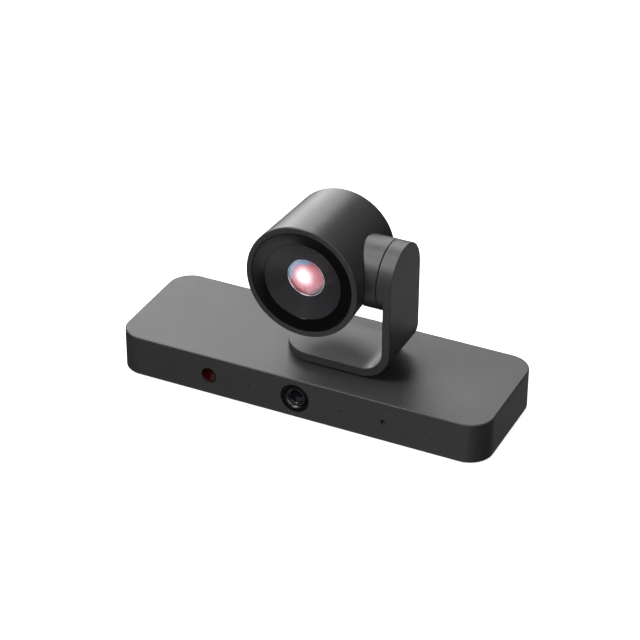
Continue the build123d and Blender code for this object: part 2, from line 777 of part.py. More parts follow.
cavity_radius = 17.0
cavity_floor_x = arm_outer_x - 3.3
duct_left_x = -3.5
duct_top_z = tilt_z + cable_bore + 0.4
cover_sheet = 1.2
cover_height = 12.0
cover_width = 9.0
cover_middle_z = (plate_low + outer_bend + tilt_z - yoke_radius) / 2
tilt_flange_radius = 10.0
tilt_flange_sheet = 2.0
tilt_screw_circle = 8.0
tilt_screw_spots = [(tilt_screw_circle, 0), (-tilt_screw_circle, 0), (0, tilt_screw_circle)]
tilt_screw_depth = 1.8
tilt_screw_head = 1.2
yoke_back = Plane(origin=(0, axis_y + yoke_radius, 0), x_dir=(1, 0, 0), z_dir=(0, -1, 0))
duct_back = Plane(origin=(0, axis_y + duct_width / 2, 0), x_dir=(1, 0, 0), z_dir=(0, -1, 0))
ribbon_width = duct_width - 2.0
ribbon_back = Plane(origin=(0, axis_y + ribbon_width / 2, 0), x_dir=(1, 0, 0), z_dir=(0, -1, 0))
duct_inset = (arm_sheet - duct_height) / 2
ribbon_sheet = 0.5

with BuildPart() as yoke_bracket:
    with BuildSketch(yoke_back):
        make_face(yoke_line(0, yoke_plate_sheet, arm_sheet, 0, tilt_z).edges())
    extrude(amount=2 * yoke_radius)
    with BuildSketch(pan_level(plate_low)):
        Circle(yoke_radius)
    extrude(amount=yoke_plate_sheet)
    with BuildSketch(pivot_plane(arm_inner_x)):
        Circle(yoke_radius)
    extrude(amount=arm_sheet)
    across_sheet = 1.05 * max(yoke_plate_sheet, arm_sheet)
    fillet(yoke_bracket.edges().filter_by(lambda edge: edge.length > across_sheet), yoke_edge_round)
    with BuildSketch(pivot_plane(boss_face_x)):
        Circle(yoke_radius)
    extrude(amount=arm_outer_x - yoke_edge_round - boss_face_x)
    boss_edges = yoke_bracket.edges().filter_by(GeomType.CIRCLE)
    fillet(boss_edges.sort_by_distance((boss_face_x, axis_y, tilt_z))[0], pivot_edge_round)
    with BuildSketch(pivot_plane(boss_face_x)):
        Circle(cavity_radius)
    extrude(amount=cavity_floor_x - boss_face_x, mode=Mode.SUBTRACT)
    with BuildSketch(duct_back):
        make_face(yoke_line(duct_inset, duct_height, duct_height, duct_left_x, duct_top_z).edges())
    extrude(amount=duct_width, mode=Mode.SUBTRACT)
    with BuildSketch(pan_level(plate_low)):
        Circle(cable_bore)
    extrude(amount=duct_inset + 0.5, mode=Mode.SUBTRACT)
    with BuildSketch(pan_level(plate_low)):
        with Locations(*hub_screw_spots):
            Circle(hub_screw_radius + running_fit)
    extrude(amount=thread_depth, mode=Mode.SUBTRACT)
    with BuildSketch(Plane(origin=(arm_inner_x, axis_y, cover_middle_z), x_dir=(0, 1, 0), z_dir=(1, 0, 0))):
        Rectangle(cover_width, cover_height)
    extrude(amount=duct_inset + 0.5, mode=Mode.SUBTRACT)
    with BuildSketch(pivot_plane(cavity_floor_x)):
        with Locations(*tilt_screw_spots):
            Circle(hub_screw_radius + running_fit)
    extrude(amount=tilt_screw_depth, mode=Mode.SUBTRACT)
save(yoke_bracket.part, "yoke_bracket")

with BuildPart() as arm_cable_cover:
    with BuildSketch(Plane(origin=(arm_inner_x, axis_y, cover_middle_z), x_dir=(0, 1, 0), z_dir=(1, 0, 0))):
        Rectangle(cover_width - 2 * press_slack, cover_height - 2 * press_slack)
    extrude(amount=cover_sheet)
save(arm_cable_cover.part, "arm_cable_cover")

with BuildPart() as ribbon_cable:
    ribbon_outline = yoke_line(duct_inset, ribbon_sheet, ribbon_sheet, duct_left_x + 0.5, duct_top_z - 0.5)
    with BuildSketch(ribbon_back):
        make_face(ribbon_outline.edges())
    extrude(amount=ribbon_width)
save(ribbon_cable.part, "ribbon_cable")

hub_end_wall = 2.5
tilt_bushing_flange = 1.2
tilt_gear_high = hub_face_x - hub_end_wall - tilt_bushing_flange - slip_gap
tilt_gear_low = tilt_gear_high - gear_width
nut_width = 2.6
tilt_shaft_end = tilt_gear_low - nut_width

with BuildPart() as tilt_shaft:
    with BuildSketch(pivot_plane(cavity_floor_x)):
        Circle(tilt_flange_radius)
    extrude(amount=-tilt_flange_sheet)
    with BuildSketch(pivot_plane(tilt_shaft_end)):
        Circle(tilt_shaft_radius)
    extrude(amount=cavity_floor_x - tilt_shaft_end)
    with BuildSketch(pivot_plane(tilt_shaft_end)):
        Circle(cable_bore)
    extrude(amount=cavity_floor_x - tilt_shaft_end, mode=Mode.SUBTRACT)
    with BuildSketch(pivot_plane(cavity_floor_x)):
        with Locations(*tilt_screw_spots):
            Circle(hub_screw_radius + running_fit)
    extrude(amount=-tilt_flange_sheet, mode=Mode.SUBTRACT)
save(tilt_shaft.part, "tilt_shaft")

with BuildPart() as tilt_shaft_screws:
    with BuildSketch(pivot_plane(cavity_floor_x + tilt_screw_depth - 0.2)):
        with Locations(*tilt_screw_spots):
            Circle(hub_screw_radius)
    extrude(amount=-(tilt_flange_sheet + tilt_screw_depth - 0.2))
    with BuildSketch(pivot_plane(cavity_floor_x - tilt_flange_sheet)):
        with Locations(*tilt_screw_spots):
            Circle(hub_screw_head_radius)
    extrude(amount=-tilt_screw_head)
save(tilt_shaft_screws.part, "tilt_shaft_screws")

with BuildPart() as tilt_gear:
    with BuildSketch(pivot_plane(tilt_gear_low)):
        Polygon(*gear_points(tilt_gear_teeth), align=None)
        Circle(tilt_shaft_radius + press_slack, mode=Mode.SUBTRACT)
    extrude(amount=gear_width)
save(tilt_gear.part, "tilt_gear")

with BuildPart() as tilt_lock_nut:
    with BuildSketch(pivot_plane(tilt_shaft_end)):
        RegularPolygon(8.6, 6)
        Circle(tilt_shaft_radius + press_slack, mode=Mode.SUBTRACT)
    extrude(amount=nut_width)
save(tilt_lock_nut.part, "tilt_lock_nut")

# ======== Head ========
hub_wall = 2.4
hub_bore = yoke_radius - hub_wall
seam_inset = 0.8
hub_seam = 0.35
gloss_seat_reach = front_reach - lip_depth
ledge_sheet = 1.6
ledge_radius = gloss_outer_radius - 1.3
flange_front = gloss_seat_reach - ledge_sheet
cap_sheet = 2.5
cap_recess = 0.5
cap_ledge_sheet = 1.5
cap_back_reach = -(back_reach - cap_recess)
cap_front_reach = cap_back_reach + cap_sheet
cap_radius = cone_radius(cap_back_reach) - barrel_wall - seam_gap
barrel_inner_front = cone_radius(flange_front) - barrel_wall
barrel_inner_back = cone_radius(cap_front_reach) - barrel_wall
barrel_port_x = 15.0
hub_start_x = 18.0

with BuildPart() as barrel_shell:
    with BuildSketch(lens_sketch):
        with BuildLine():
            Polyline(
                (0, axis_y - front_reach),
                (barrel_front_radius, axis_y - front_reach),
                (barrel_back_radius, axis_y + back_reach),
                (0, axis_y + back_reach),
                close=True,
            )
        make_face()
    revolve(axis=lens_axis)
    fillet(barrel_shell.edges().filter_by(GeomType.CIRCLE).sort_by(Axis.Y)[0], lip_round)
    fillet(barrel_shell.edges().filter_by(GeomType.CIRCLE).sort_by(Axis.Y)[-1], back_round)
    with BuildSketch(lens_sketch):
        Polygon(
            (0, axis_y - front_reach),
            (gloss_outer_radius + press_slack, axis_y - front_reach),
            (gloss_outer_radius + press_slack, axis_y - gloss_seat_reach),
            (ledge_radius, axis_y - gloss_seat_reach),
            (ledge_radius, axis_y - flange_front),
            (barrel_inner_front, axis_y - flange_front),
            (barrel_inner_back, axis_y - cap_front_reach - cap_ledge_sheet),
            (cap_radius - 1.6, axis_y - cap_front_reach - cap_ledge_sheet),
            (cap_radius - 1.6, axis_y - cap_front_reach),
            (cap_radius + seam_gap, axis_y - cap_front_reach),
            (cap_radius + seam_gap, axis_y + back_reach),
            (0, axis_y + back_reach),
            align=None,
        )
    revolve(axis=lens_axis, mode=Mode.SUBTRACT)
    with BuildSketch(pivot_plane(barrel_port_x)):
        Circle(hub_bore)
    extrude(amount=barrel_front_radius, mode=Mode.SUBTRACT)
save(barrel_shell.part, "barrel_shell")

web_front = 23.0
web_sheet = 2.0
tube_front = web_front - web_sheet
housing_wall_sheet = 2.0
carriage_width = 6.0
carriage_gap = 1.0
group_gap = 4.0
housing_length = 2 * (carriage_width + carriage_gap) + group_gap + zoom_travel + focus_travel
housing_back = tube_front - housing_length - housing_wall_sheet
head_board_reach = housing_back - 5.0
head_board_x = -5.0
with BuildPart() as barrel_rear_cap:
    with BuildSketch(lens_plane(cap_back_reach)):
        Circle(cap_radius)
    extrude(amount=cap_sheet)
    with BuildSketch(lens_plane(cap_front_reach)):
        with Locations((head_board_x, 0)):
            with GridLocations(30.0, 30.0, 2, 2):
                Circle(standoff_radius)
    extrude(amount=head_board_reach - board_sheet - cap_front_reach)
save(barrel_rear_cap.part, "barrel_rear_cap")

web_radius = 27.0
top_hat_wall = 1.6
flange_sheet = 1.8
flange_radius = barrel_inner_front - 0.3
aperture_radius = front_lens_radius - 1.3
sensor_window_radius = 6.0
gloss_outer_reach = front_reach - 0.45
gloss_inner_reach = front_reach - 1.5
gloss_seat_radius = gloss_inner_radius + slip_gap
cone_outer_reach = gloss_inner_reach - 0.1
cone_inner_reach = cone_outer_reach - cone_depth

with BuildPart() as gloss_ring:
    with BuildSketch(lens_sketch):
        Polygon(
            (gloss_seat_radius, axis_y - gloss_inner_reach),
            (gloss_outer_radius, axis_y - gloss_outer_reach),
            (gloss_outer_radius, axis_y - gloss_seat_reach),
            (gloss_seat_radius, axis_y - gloss_seat_reach),
            align=None,
        )
    revolve(axis=lens_axis)
save(gloss_ring.part, "gloss_ring")

with BuildPart() as lens_surround:
    with BuildSketch(lens_sketch):
        Polygon(
            (cone_inner_radius, axis_y - cone_inner_reach),
            (gloss_inner_radius, axis_y - cone_outer_reach),
            (gloss_inner_radius, axis_y - gloss_seat_reach),
            (gloss_inner_radius + 1.2, axis_y - gloss_seat_reach),
            (gloss_inner_radius + 1.2, axis_y - web_front),
            (gloss_inner_radius - 0.6, axis_y - web_front),
            (gloss_inner_radius - 0.6, axis_y - cone_outer_reach + 2.2),
            (cone_inner_radius, axis_y - cone_inner_reach + 2.0),
            align=None,
        )
    revolve(axis=lens_axis)
save(lens_surround.part, "lens_surround")

lens_edge_reach = cone_inner_reach - 0.5
with BuildPart() as lens_retainer:
    with BuildSketch(lens_sketch):
        Polygon(
            (front_lens_radius + press_slack, axis_y - web_front),
            (cone_inner_radius - press_slack, axis_y - web_front),
            (cone_inner_radius - press_slack, axis_y - cone_inner_reach - 0.15),
            (front_lens_radius + 0.5, axis_y - cone_inner_reach - 0.15),
            (front_lens_radius + press_slack, axis_y - lens_edge_reach),
            align=None,
        )
    revolve(axis=lens_axis)
save(lens_retainer.part, "lens_retainer")

lens_crown = 2.2
with BuildPart() as front_lens:
    with BuildSketch(lens_sketch):
        with BuildLine():
            Line((0, axis_y - web_front), (0, axis_y - lens_edge_reach - lens_crown))
            ThreePointArc(
                (0, axis_y - lens_edge_reach - lens_crown),
                (front_lens_radius / 2, axis_y - lens_edge_reach - 0.76 * lens_crown),
                (front_lens_radius, axis_y - lens_edge_reach),
            )
            Line((front_lens_radius, axis_y - lens_edge_reach), (front_lens_radius, axis_y - web_front))
            Line((front_lens_radius, axis_y - web_front), (0, axis_y - web_front))
        make_face()
    revolve(axis=lens_axis)
save(front_lens.part, "front_lens")

with BuildPart() as lens_housing:
    with BuildSketch(lens_sketch):
        Polygon(
            (aperture_radius, axis_y - web_front),
            (web_radius, axis_y - web_front),
            (web_radius, axis_y - flange_front),
            (flange_radius, axis_y - flange_front),
            (flange_radius, axis_y - flange_front + flange_sheet),
            (web_radius + top_hat_wall, axis_y - flange_front + flange_sheet),
            (web_radius + top_hat_wall, axis_y - tube_front),
            (housing_radius, axis_y - tube_front),
            (housing_radius, axis_y - housing_back),
            (sensor_window_radius, axis_y - housing_back),
            (sensor_window_radius, axis_y - housing_back - housing_wall_sheet),
            (housing_bore, axis_y - housing_back - housing_wall_sheet),
            (housing_bore, axis_y - tube_front),
            (aperture_radius, axis_y - tube_front),
            align=None,
        )
    revolve(axis=lens_axis)
save(lens_housing.part, "lens_housing")

rod_radius = 0.8
rod_circle = housing_bore - 2.4
with BuildPart() as guide_rods:
    with BuildSketch(lens_plane(housing_back + housing_wall_sheet)):
        with Locations((-rod_circle, 0), (rod_circle, 0)):
            Circle(rod_radius)
    extrude(amount=tube_front - housing_back - housing_wall_sheet)
save(guide_rods.part, "guide_rods")

carriage_radius = housing_bore - 0.6
group_lens_radius = rod_circle - rod_radius - 2.2
group_lip = 0.8
zoom_lens_sheet = 3.4
focus_lens_sheet = 2.6
sensor_height = 1.4
head_chip_height = 1.4
zoom_rest_reach = tube_front - carriage_gap - carriage_width
focus_rest_reach = housing_back + housing_wall_sheet + carriage_gap + focus_travel

with BuildPart() as zoom_carriage:
    with BuildSketch(lens_plane(zoom_rest_reach)):
        Circle(carriage_radius)
        Circle(group_lens_radius + press_slack, mode=Mode.SUBTRACT)
        with Locations((-rod_circle, 0), (rod_circle, 0)):
            Circle(rod_radius + running_fit, mode=Mode.SUBTRACT)
    extrude(amount=carriage_width)
    with BuildSketch(lens_plane(zoom_rest_reach)):
        Circle(group_lens_radius + 0.3)
        Circle(group_lens_radius - 1.0, mode=Mode.SUBTRACT)
    extrude(amount=group_lip)
save(zoom_carriage.part, "zoom_carriage")

with BuildPart() as zoom_lens:
    with BuildSketch(lens_plane(zoom_rest_reach + group_lip)):
        Circle(group_lens_radius)
    extrude(amount=zoom_lens_sheet)
save(zoom_lens.part, "zoom_lens")

with BuildPart() as focus_carriage:
    with BuildSketch(lens_plane(focus_rest_reach)):
        Circle(carriage_radius)
        Circle(group_lens_radius + press_slack, mode=Mode.SUBTRACT)
        with Locations((-rod_circle, 0), (rod_circle, 0)):
            Circle(rod_radius + running_fit, mode=Mode.SUBTRACT)
    extrude(amount=carriage_width)
    with BuildSketch(lens_plane(focus_rest_reach)):
        Circle(group_lens_radius + 0.3)
        Circle(group_lens_radius - 1.0, mode=Mode.SUBTRACT)
    extrude(amount=group_lip)
save(focus_carriage.part, "focus_carriage")

with BuildPart() as focus_lens:
    with BuildSketch(lens_plane(focus_rest_reach + group_lip)):
        Circle(group_lens_radius)
    extrude(amount=focus_lens_sheet)
save(focus_lens.part, "focus_lens")

with BuildPart() as sensor_board:
    with BuildSketch(lens_plane(housing_back)):
        RectangleRounded(30.0, 30.0, 1.5)
    extrude(amount=-board_sheet)
save(sensor_board.part, "sensor_board")

with BuildPart() as image_sensor:
    with BuildSketch(lens_plane(housing_back)):
        Rectangle(9.0, 7.0)
    extrude(amount=sensor_height)
save(image_sensor.part, "image_sensor")

with BuildPart() as head_board:
    with BuildSketch(lens_plane(head_board_reach - board_sheet)):
        with Locations((head_board_x, 0)):
            RectangleRounded(38.0, 38.0, 2.0)
    extrude(amount=board_sheet)
    with BuildSketch(lens_plane(head_board_reach)):
        with Locations((head_board_x, 0)):
            RectangleRounded(14.0, 14.0, 0.6)
    extrude(amount=head_chip_height)
save(head_board.part, "head_board")

# ---- Hub that turns with the barrel, and the tilt drive ----
motor_plate_sheet = 1.6
motor_plate_x = barrel_back_radius - 3.35
motor_plate_radius = hub_bore - 0.3
hub_post_radius = 2.0
hub_post_circle = 17.0
hub_post_spots = [(-hub_post_circle, 0), (0, hub_post_circle), (0, -hub_post_circle)]
tilt_motor_radius = 7.2
tilt_motor_length = 14.0
tilt_motor_floor = 3.0
tilt_motor_back_x = motor_plate_x - tilt_motor_length
tilt_rotor_x = tilt_motor_back_x + tilt_motor_floor + 0.4
tilt_bushing_radius = 8.0


def barrel_cone(extra):
    """Solid of the barrel's outer cone, grown outwards by a little."""
    with BuildPart() as cone:
        with BuildSketch(lens_sketch):
            Polygon(
                (0, axis_y - front_reach),
                (barrel_front_radius + extra, axis_y - front_reach),
                (barrel_back_radius + extra, axis_y + back_reach),
                (0, axis_y + back_reach),
                align=None,
            )
        revolve(axis=lens_axis)
    return cone.part


with BuildPart() as tilt_hub:
    with BuildSketch(pivot_plane(hub_face_x)):
        Circle(yoke_radius)
    extrude(amount=-(hub_face_x - hub_start_x))
    fillet(tilt_hub.edges().filter_by(GeomType.CIRCLE).sort_by(Axis.X)[-1], pivot_edge_round)
    add(barrel_cone(hub_seam), mode=Mode.SUBTRACT)
    with BuildSketch(pivot_plane(hub_face_x)):
        Circle(yoke_radius - seam_inset)
    extrude(amount=-(hub_face_x - hub_start_x))
    add(barrel_cone(0.0), mode=Mode.SUBTRACT)
    with BuildSketch(pivot_plane(hub_face_x - hub_end_wall)):
        Circle(hub_bore)
    extrude(amount=-(hub_face_x - barrel_port_x), mode=Mode.SUBTRACT)
    with BuildSketch(pivot_plane(hub_face_x - hub_end_wall)):
        with Locations(*hub_post_spots):
            Circle(hub_post_radius)
    extrude(amount=-(hub_face_x - hub_end_wall - motor_plate_x - motor_plate_sheet))
    with BuildSketch(pivot_plane(hub_face_x)):
        Circle(tilt_bushing_radius + press_slack)
    extrude(amount=-hub_end_wall, mode=Mode.SUBTRACT)
save(tilt_hub.part, "tilt_hub")

with BuildPart() as tilt_bushing:
    with BuildSketch(pivot_plane(hub_face_x)):
        Circle(tilt_bushing_radius)
    extrude(amount=-hub_end_wall)
    with BuildSketch(pivot_plane(hub_face_x - hub_end_wall)):
        Circle(tilt_bushing_radius + 1.8)
    extrude(amount=-tilt_bushing_flange)
    with BuildSketch(pivot_plane(hub_face_x)):
        Circle(tilt_shaft_radius + running_fit)
    extrude(amount=-(hub_end_wall + tilt_bushing_flange), mode=Mode.SUBTRACT)
save(tilt_bushing.part, "tilt_bushing")

with BuildPart() as tilt_motor_plate:
    with BuildSketch(pivot_plane(motor_plate_x)):
        Circle(motor_plate_radius)
        Circle(cable_bore + 1.0, mode=Mode.SUBTRACT)
        with Locations((tilt_centre_distance, 0)):
            Circle(motor_nose_radius + press_slack, mode=Mode.SUBTRACT)
    extrude(amount=motor_plate_sheet)
save(tilt_motor_plate.part, "tilt_motor_plate")

with BuildPart() as tilt_motor:
    with BuildSketch(pivot_plane(motor_plate_x, tilt_centre_distance)):
        Circle(tilt_motor_radius)
    extrude(amount=-tilt_motor_length)
    with BuildSketch(pivot_plane(motor_plate_x, tilt_centre_distance)):
        Circle(motor_nose_radius)
    extrude(amount=motor_plate_sheet)
    with BuildSketch(pivot_plane(tilt_motor_back_x + tilt_motor_floor, tilt_centre_distance)):
        Circle(motor_shaft_radius + running_fit)
    extrude(amount=tilt_motor_length + motor_plate_sheet - tilt_motor_floor, mode=Mode.SUBTRACT)
save(tilt_motor.part, "tilt_motor")

with BuildPart() as tilt_pinion:
    with BuildSketch(pivot_plane(tilt_rotor_x, tilt_centre_distance)):
        Circle(motor_shaft_radius)
    extrude(amount=tilt_gear_high - tilt_rotor_x)
    with BuildSketch(pivot_plane(tilt_gear_low, tilt_centre_distance)):
        Polygon(*gear_points(tilt_pinion_teeth, 180 / tilt_pinion_teeth), align=None)
    extrude(amount=gear_width)
save(tilt_pinion.part, "tilt_pinion")
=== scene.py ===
"""Camera that pans and tilts on a long base bar: the finish of its frame, its fine pieces and a studio."""
import json
from math import pi, radians

import bmesh
import bpy
import numpy as np
from bpy.props import FloatProperty, FloatVectorProperty, IntProperty, PointerProperty
from mathutils import Matrix, Vector


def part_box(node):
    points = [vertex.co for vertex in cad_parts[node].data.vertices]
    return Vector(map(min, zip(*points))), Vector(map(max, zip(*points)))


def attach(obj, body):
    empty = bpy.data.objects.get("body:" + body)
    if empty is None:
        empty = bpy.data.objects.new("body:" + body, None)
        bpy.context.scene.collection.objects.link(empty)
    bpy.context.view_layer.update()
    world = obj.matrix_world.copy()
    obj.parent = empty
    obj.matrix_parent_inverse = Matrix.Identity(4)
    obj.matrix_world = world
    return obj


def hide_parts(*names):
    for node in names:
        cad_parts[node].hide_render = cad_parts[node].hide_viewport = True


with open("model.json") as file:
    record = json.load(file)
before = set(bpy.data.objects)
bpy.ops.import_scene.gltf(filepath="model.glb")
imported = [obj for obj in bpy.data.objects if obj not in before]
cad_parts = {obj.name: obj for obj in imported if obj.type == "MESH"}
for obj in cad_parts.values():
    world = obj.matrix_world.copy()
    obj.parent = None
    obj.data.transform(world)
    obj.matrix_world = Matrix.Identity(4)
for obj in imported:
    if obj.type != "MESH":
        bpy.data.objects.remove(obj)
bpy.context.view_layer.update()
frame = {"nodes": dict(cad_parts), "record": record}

bl_info = {
    "name": "Pan and tilt camera finish",
    "version": (1, 0, 0),
    "blender": (4, 5, 0),
    "location": "3D View > Sidebar > Camera",
    "description": "Fine pieces, finishes and a studio for a camera that pans and tilts on a bar",
    "category": "Object",
}

mm = 0.001
GLASS_CLEARANCE = 0.04 * mm
FRONT_STAND = 0.04 * mm
UP = np.array((0.0, 0.0, 1.0))
RIGHT = np.array((1.0, 0.0, 0.0))
INTO_FRONT = np.array((0.0, 1.0, 0.0))
INTO_ARM = RIGHT
TURNS = 128
SMOOTH_ANGLE = radians(38)


# ---- Places from the frame ----
def middle(node):
    """Middle of a node's box."""
    low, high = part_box(node)
    return (np.array(low) + np.array(high)) / 2


def half_size(node):
    """Half of a node's length, depth and height."""
    low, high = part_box(node)
    return (np.array(high) - np.array(low)) / 2


def front_point(node):
    """Middle of a node's front, which is its side towards -Y."""
    point = middle(node)
    point[1] -= half_size(node)[1]
    return point


# ---- Surfaces ----
def rounded(corners, cut, loop=False, steps=6):
    """Outline with each corner softened: a point slides along the curve (1-t)^2 a + 2t(1-t) c + t^2 b,
    where c is the corner and a and b lie on its two sides at the cut, or half the side if that is less."""
    corner = np.asarray(corners, float)
    before = np.roll(corner, 1, axis=0)
    after = np.roll(corner, -1, axis=0)
    t = np.linspace(0, 1, steps)[None, :, None]

    def side_point(other):
        side = other - corner
        length = np.maximum(np.linalg.norm(side, axis=1, keepdims=True), 1e-12)
        return (corner + side / length * np.minimum(cut, length / 2))[:, None]

    bend = (1 - t) ** 2 * side_point(before) + 2 * t * (1 - t) * corner[:, None] + t**2 * side_point(after)
    if loop:
        return bend.reshape(-1, 2)
    return np.vstack([corner[:1], bend[1:-1].reshape(-1, 2), corner[-1:]])


def turned(profile, centre, inward, spread=(1.0, 1.0), squareness=2.0, turns=TURNS):
    """Profile of (radius, depth) carried round an axis: the centre, plus the depth along the inward axis,
    plus the radius along a spoke at angle a. A spoke is |cos a|^(2/n) by |sin a|^(2/n) with their signs,
    stretched by the spread, so that n = 2 gives circles and a larger squareness n rounded oblongs."""
    radius, depth = np.asarray(profile, float).T
    angle = np.arange(turns) * 2 * pi / turns
    side = np.cross(inward, RIGHT if abs(inward[2]) > 0.9 else UP)
    top = np.cross(side, inward)
    power = 2 / squareness
    run = spread[0] * np.sign(np.cos(angle)) * np.abs(np.cos(angle)) ** power
    rise = spread[1] * np.sign(np.sin(angle)) * np.abs(np.sin(angle)) ** power
    spokes = run[:, None] * side + rise[:, None] * top
    return centre + depth[:, None, None] * inward + radius[:, None, None] * spokes


def strip(path, across, half_width, half_sheet):
    """Flat strip carried along a path: at each point a rectangle stands across it, half_width along the
    across direction and half_sheet along the cross product of the path's direction and across. The
    first and last rectangles shrink to a point, which closes the ends."""
    path = np.asarray(path, float)
    heading = np.gradient(path, axis=0)
    heading /= np.linalg.norm(heading, axis=1, keepdims=True)
    normal = np.cross(heading, across)
    run = half_width * np.array((-1, 1, 1, -1))[None, :, None] * np.asarray(across)
    rise = half_sheet * np.array((-1, -1, 1, 1))[None, :, None] * normal[:, None]
    rings = path[:, None] + run + rise
    ends = np.repeat(path[[0, -1], None], 4, axis=1)
    return np.concatenate([ends[:1], rings, ends[1:]])


def make_piece(name, grids, body, material, loop=False):
    """One mesh from grids of points, each closed round its second parameter and, where loop is set, its
    first. Equal points are merged, which closes poles and seams, and the faces are turned outwards."""
    points = []
    faces = []
    start = 0
    for grid in grids:
        rows, columns = grid.shape[:2]
        row = np.arange(rows if loop else rows - 1)[:, None]
        column = np.arange(columns)[None, :]
        below = start + row * columns
        above = start + (row + 1) % rows * columns
        ahead = (column + 1) % columns
        quads = np.stack([below + column, below + ahead, above + ahead, above + column], axis=-1)
        points.append(grid.reshape(-1, 3))
        faces.append(quads.reshape(-1, 4))
        start += rows * columns
    mesh = bpy.data.meshes.new(name)
    mesh.from_pydata(np.vstack(points).tolist(), [], np.vstack(faces).tolist())
    shape = bmesh.new()
    shape.from_mesh(mesh)
    bmesh.ops.remove_doubles(shape, verts=shape.verts, dist=1e-7)
    bmesh.ops.recalc_face_normals(shape, faces=shape.faces)
    shape.to_mesh(mesh)
    shape.free()
    mesh.shade_smooth()
    mesh.set_sharp_from_angle(angle=SMOOTH_ANGLE)
    mesh.materials.append(material)
    piece = bpy.data.objects.new(name, mesh)
    bpy.context.scene.collection.objects.link(piece)
    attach(piece, body)
    return piece


# ---- Shader nodes ----
class Value:
    """A shader socket's value. Arithmetic on it adds Math nodes to its board."""

    def __init__(self, board, socket):
        self.board = board
        self.socket = socket

    def maths(self, operation, first, second):
        return self.board.node("ShaderNodeMath", {"operation": operation}, {0: first, 1: second})

    def __add__(self, other):
        return self.maths("ADD", self, other)

    def __sub__(self, other):
        return self.maths("SUBTRACT", self, other)

    def __mul__(self, other):
        return self.maths("MULTIPLY", self, other)

    def __truediv__(self, other):
        return self.maths("DIVIDE", self, other)

    def __pow__(self, other):
        return self.maths("POWER", self, other)

    def __rsub__(self, other):
        return self.maths("SUBTRACT", other, self)

    __radd__ = __add__
    __rmul__ = __mul__


class Board:
    """A material with its nodes, added one call at a time."""

    def __init__(self, name):
        self.material = bpy.data.materials.new(name)
        self.material.use_nodes = True
        self.tree = self.material.node_tree
        self.tree.nodes.clear()

    def node(self, kind, settings=None, inputs=None, output=0):
        """Add a node of a kind: its settings first, then a value or a link for each named input."""
        made = self.tree.nodes.new(kind)
        for key, setting in (settings or {}).items():
            if key == "stops":
                self.place_stops(made.color_ramp.elements, setting)
            else:
                setattr(made, key, setting)
        for key, given in (inputs or {}).items():
            if isinstance(given, Value):
                self.tree.links.new(given.socket, made.inputs[key])
            else:
                made.inputs[key].default_value = given
        return Value(self, made.outputs[output]) if made.outputs else None

    def place_stops(self, elements, stops):
        """Give a ramp its stops, each a position and a colour."""
        while len(elements) < len(stops):
            elements.new(1.0)
        for element, (position, colour) in zip(elements, stops):
            element.position = position
            element.color = (*colour, 1.0)

    def place(self, centre=(0.0, 0.0, 0.0)):
        """Object coordinates measured from a centre."""
        coordinates = self.node("ShaderNodeTexCoord", output="Object")
        shift = tuple(-float(part) for part in centre)
        sockets = {"Vector": coordinates, "Location": shift}
        return self.node("ShaderNodeMapping", {"vector_type": "POINT"}, sockets)

    def noise(self, place, scale, detail=2.0):
        """Soft cloud of values from 0 to 1, with so many cells per metre."""
        sockets = {"Vector": place, "Scale": scale, "Detail": detail}
        return self.node("ShaderNodeTexNoise", inputs=sockets)

    def cells(self, place, scale):
        """Distance to the nearest of many scattered points, in cells."""
        return self.node("ShaderNodeTexVoronoi", inputs={"Vector": place, "Scale": scale})

    def mix(self, factor, first, second):
        """Colour between two colours."""
        sockets = {0: factor, 6: self.colour(first), 7: self.colour(second)}
        return self.node("ShaderNodeMix", {"data_type": "RGBA", "clamp_factor": True}, sockets, 2)

    def colour(self, given):
        """A link as it is, or three numbers with a full alpha."""
        return given if isinstance(given, Value) else (*given, 1.0)

    def ramp(self, factor, stops):
        """Colour read from a ramp of stops."""
        return self.node("ShaderNodeValToRGB", {"stops": stops}, {"Fac": factor})

    def step(self, value, low, high):
        """0 below the low value and 1 above the high one, with a smooth rise between them."""
        settings = {"interpolation_type": "SMOOTHSTEP"}
        return self.node("ShaderNodeMapRange", settings, {"Value": value, "From Min": low, "From Max": high})

    def relief(self, height, depth):
        """Normal of a relief that is so many metres deep."""
        return self.node("ShaderNodeBump", inputs={"Height": height, "Distance": depth, "Strength": 1.0})

    def wave(self, phase):
        """Sine of a value."""
        return self.node("ShaderNodeMath", {"operation": "SINE"}, {0: phase})

    def axes(self, place):
        """The three parts of a vector."""
        parts = self.node("ShaderNodeSeparateXYZ", inputs={0: place})
        return [Value(self, socket) for socket in parts.socket.node.outputs]

    def close(self, inputs):
        """Join one Principled surface to the output and give the material."""
        surface = self.node("ShaderNodeBsdfPrincipled", inputs=inputs)
        self.node("ShaderNodeOutputMaterial", inputs={"Surface": surface})
        return self.material


def colours():
    """The scene's own colours of the visible finishes."""
    return bpy.context.scene.camera_colours


def faded(colour, share):
    """A colour times a share: darker below 1 and brighter above it."""
    return tuple(part * share for part in colour)


# ---- Finishes ----
def graphite(name, grain_scale, roughness, depth):
    """Dark grey with a fine stipple: small cells and finer noise raise it, and dark and bright specks
    and faint clouds vary its colour and roughness."""
    board = Board(name)
    place = board.place()
    tone = colours().graphite
    fine = board.noise(place, grain_scale * 1.9, 3.0)
    speck = board.noise(place, grain_scale, 1.0)
    cloud = board.noise(place, 38.0, 3.0)
    stipple = board.cells(place, grain_scale)
    patchy = board.mix(board.step(speck, 0.42, 0.66), faded(tone, 0.80), faded(tone, 1.28))
    shade = board.mix(cloud * 0.35, patchy, faded(tone, 1.12))
    grain = board.relief(stipple * 0.6 + fine * 0.7, depth)
    return board.close({
        "Base Color": shade,
        "Roughness": roughness + (speck - 0.5) * 0.16 + (cloud - 0.5) * 0.07,
        "Normal": grain,
        "Specular IOR Level": 0.5,
    })


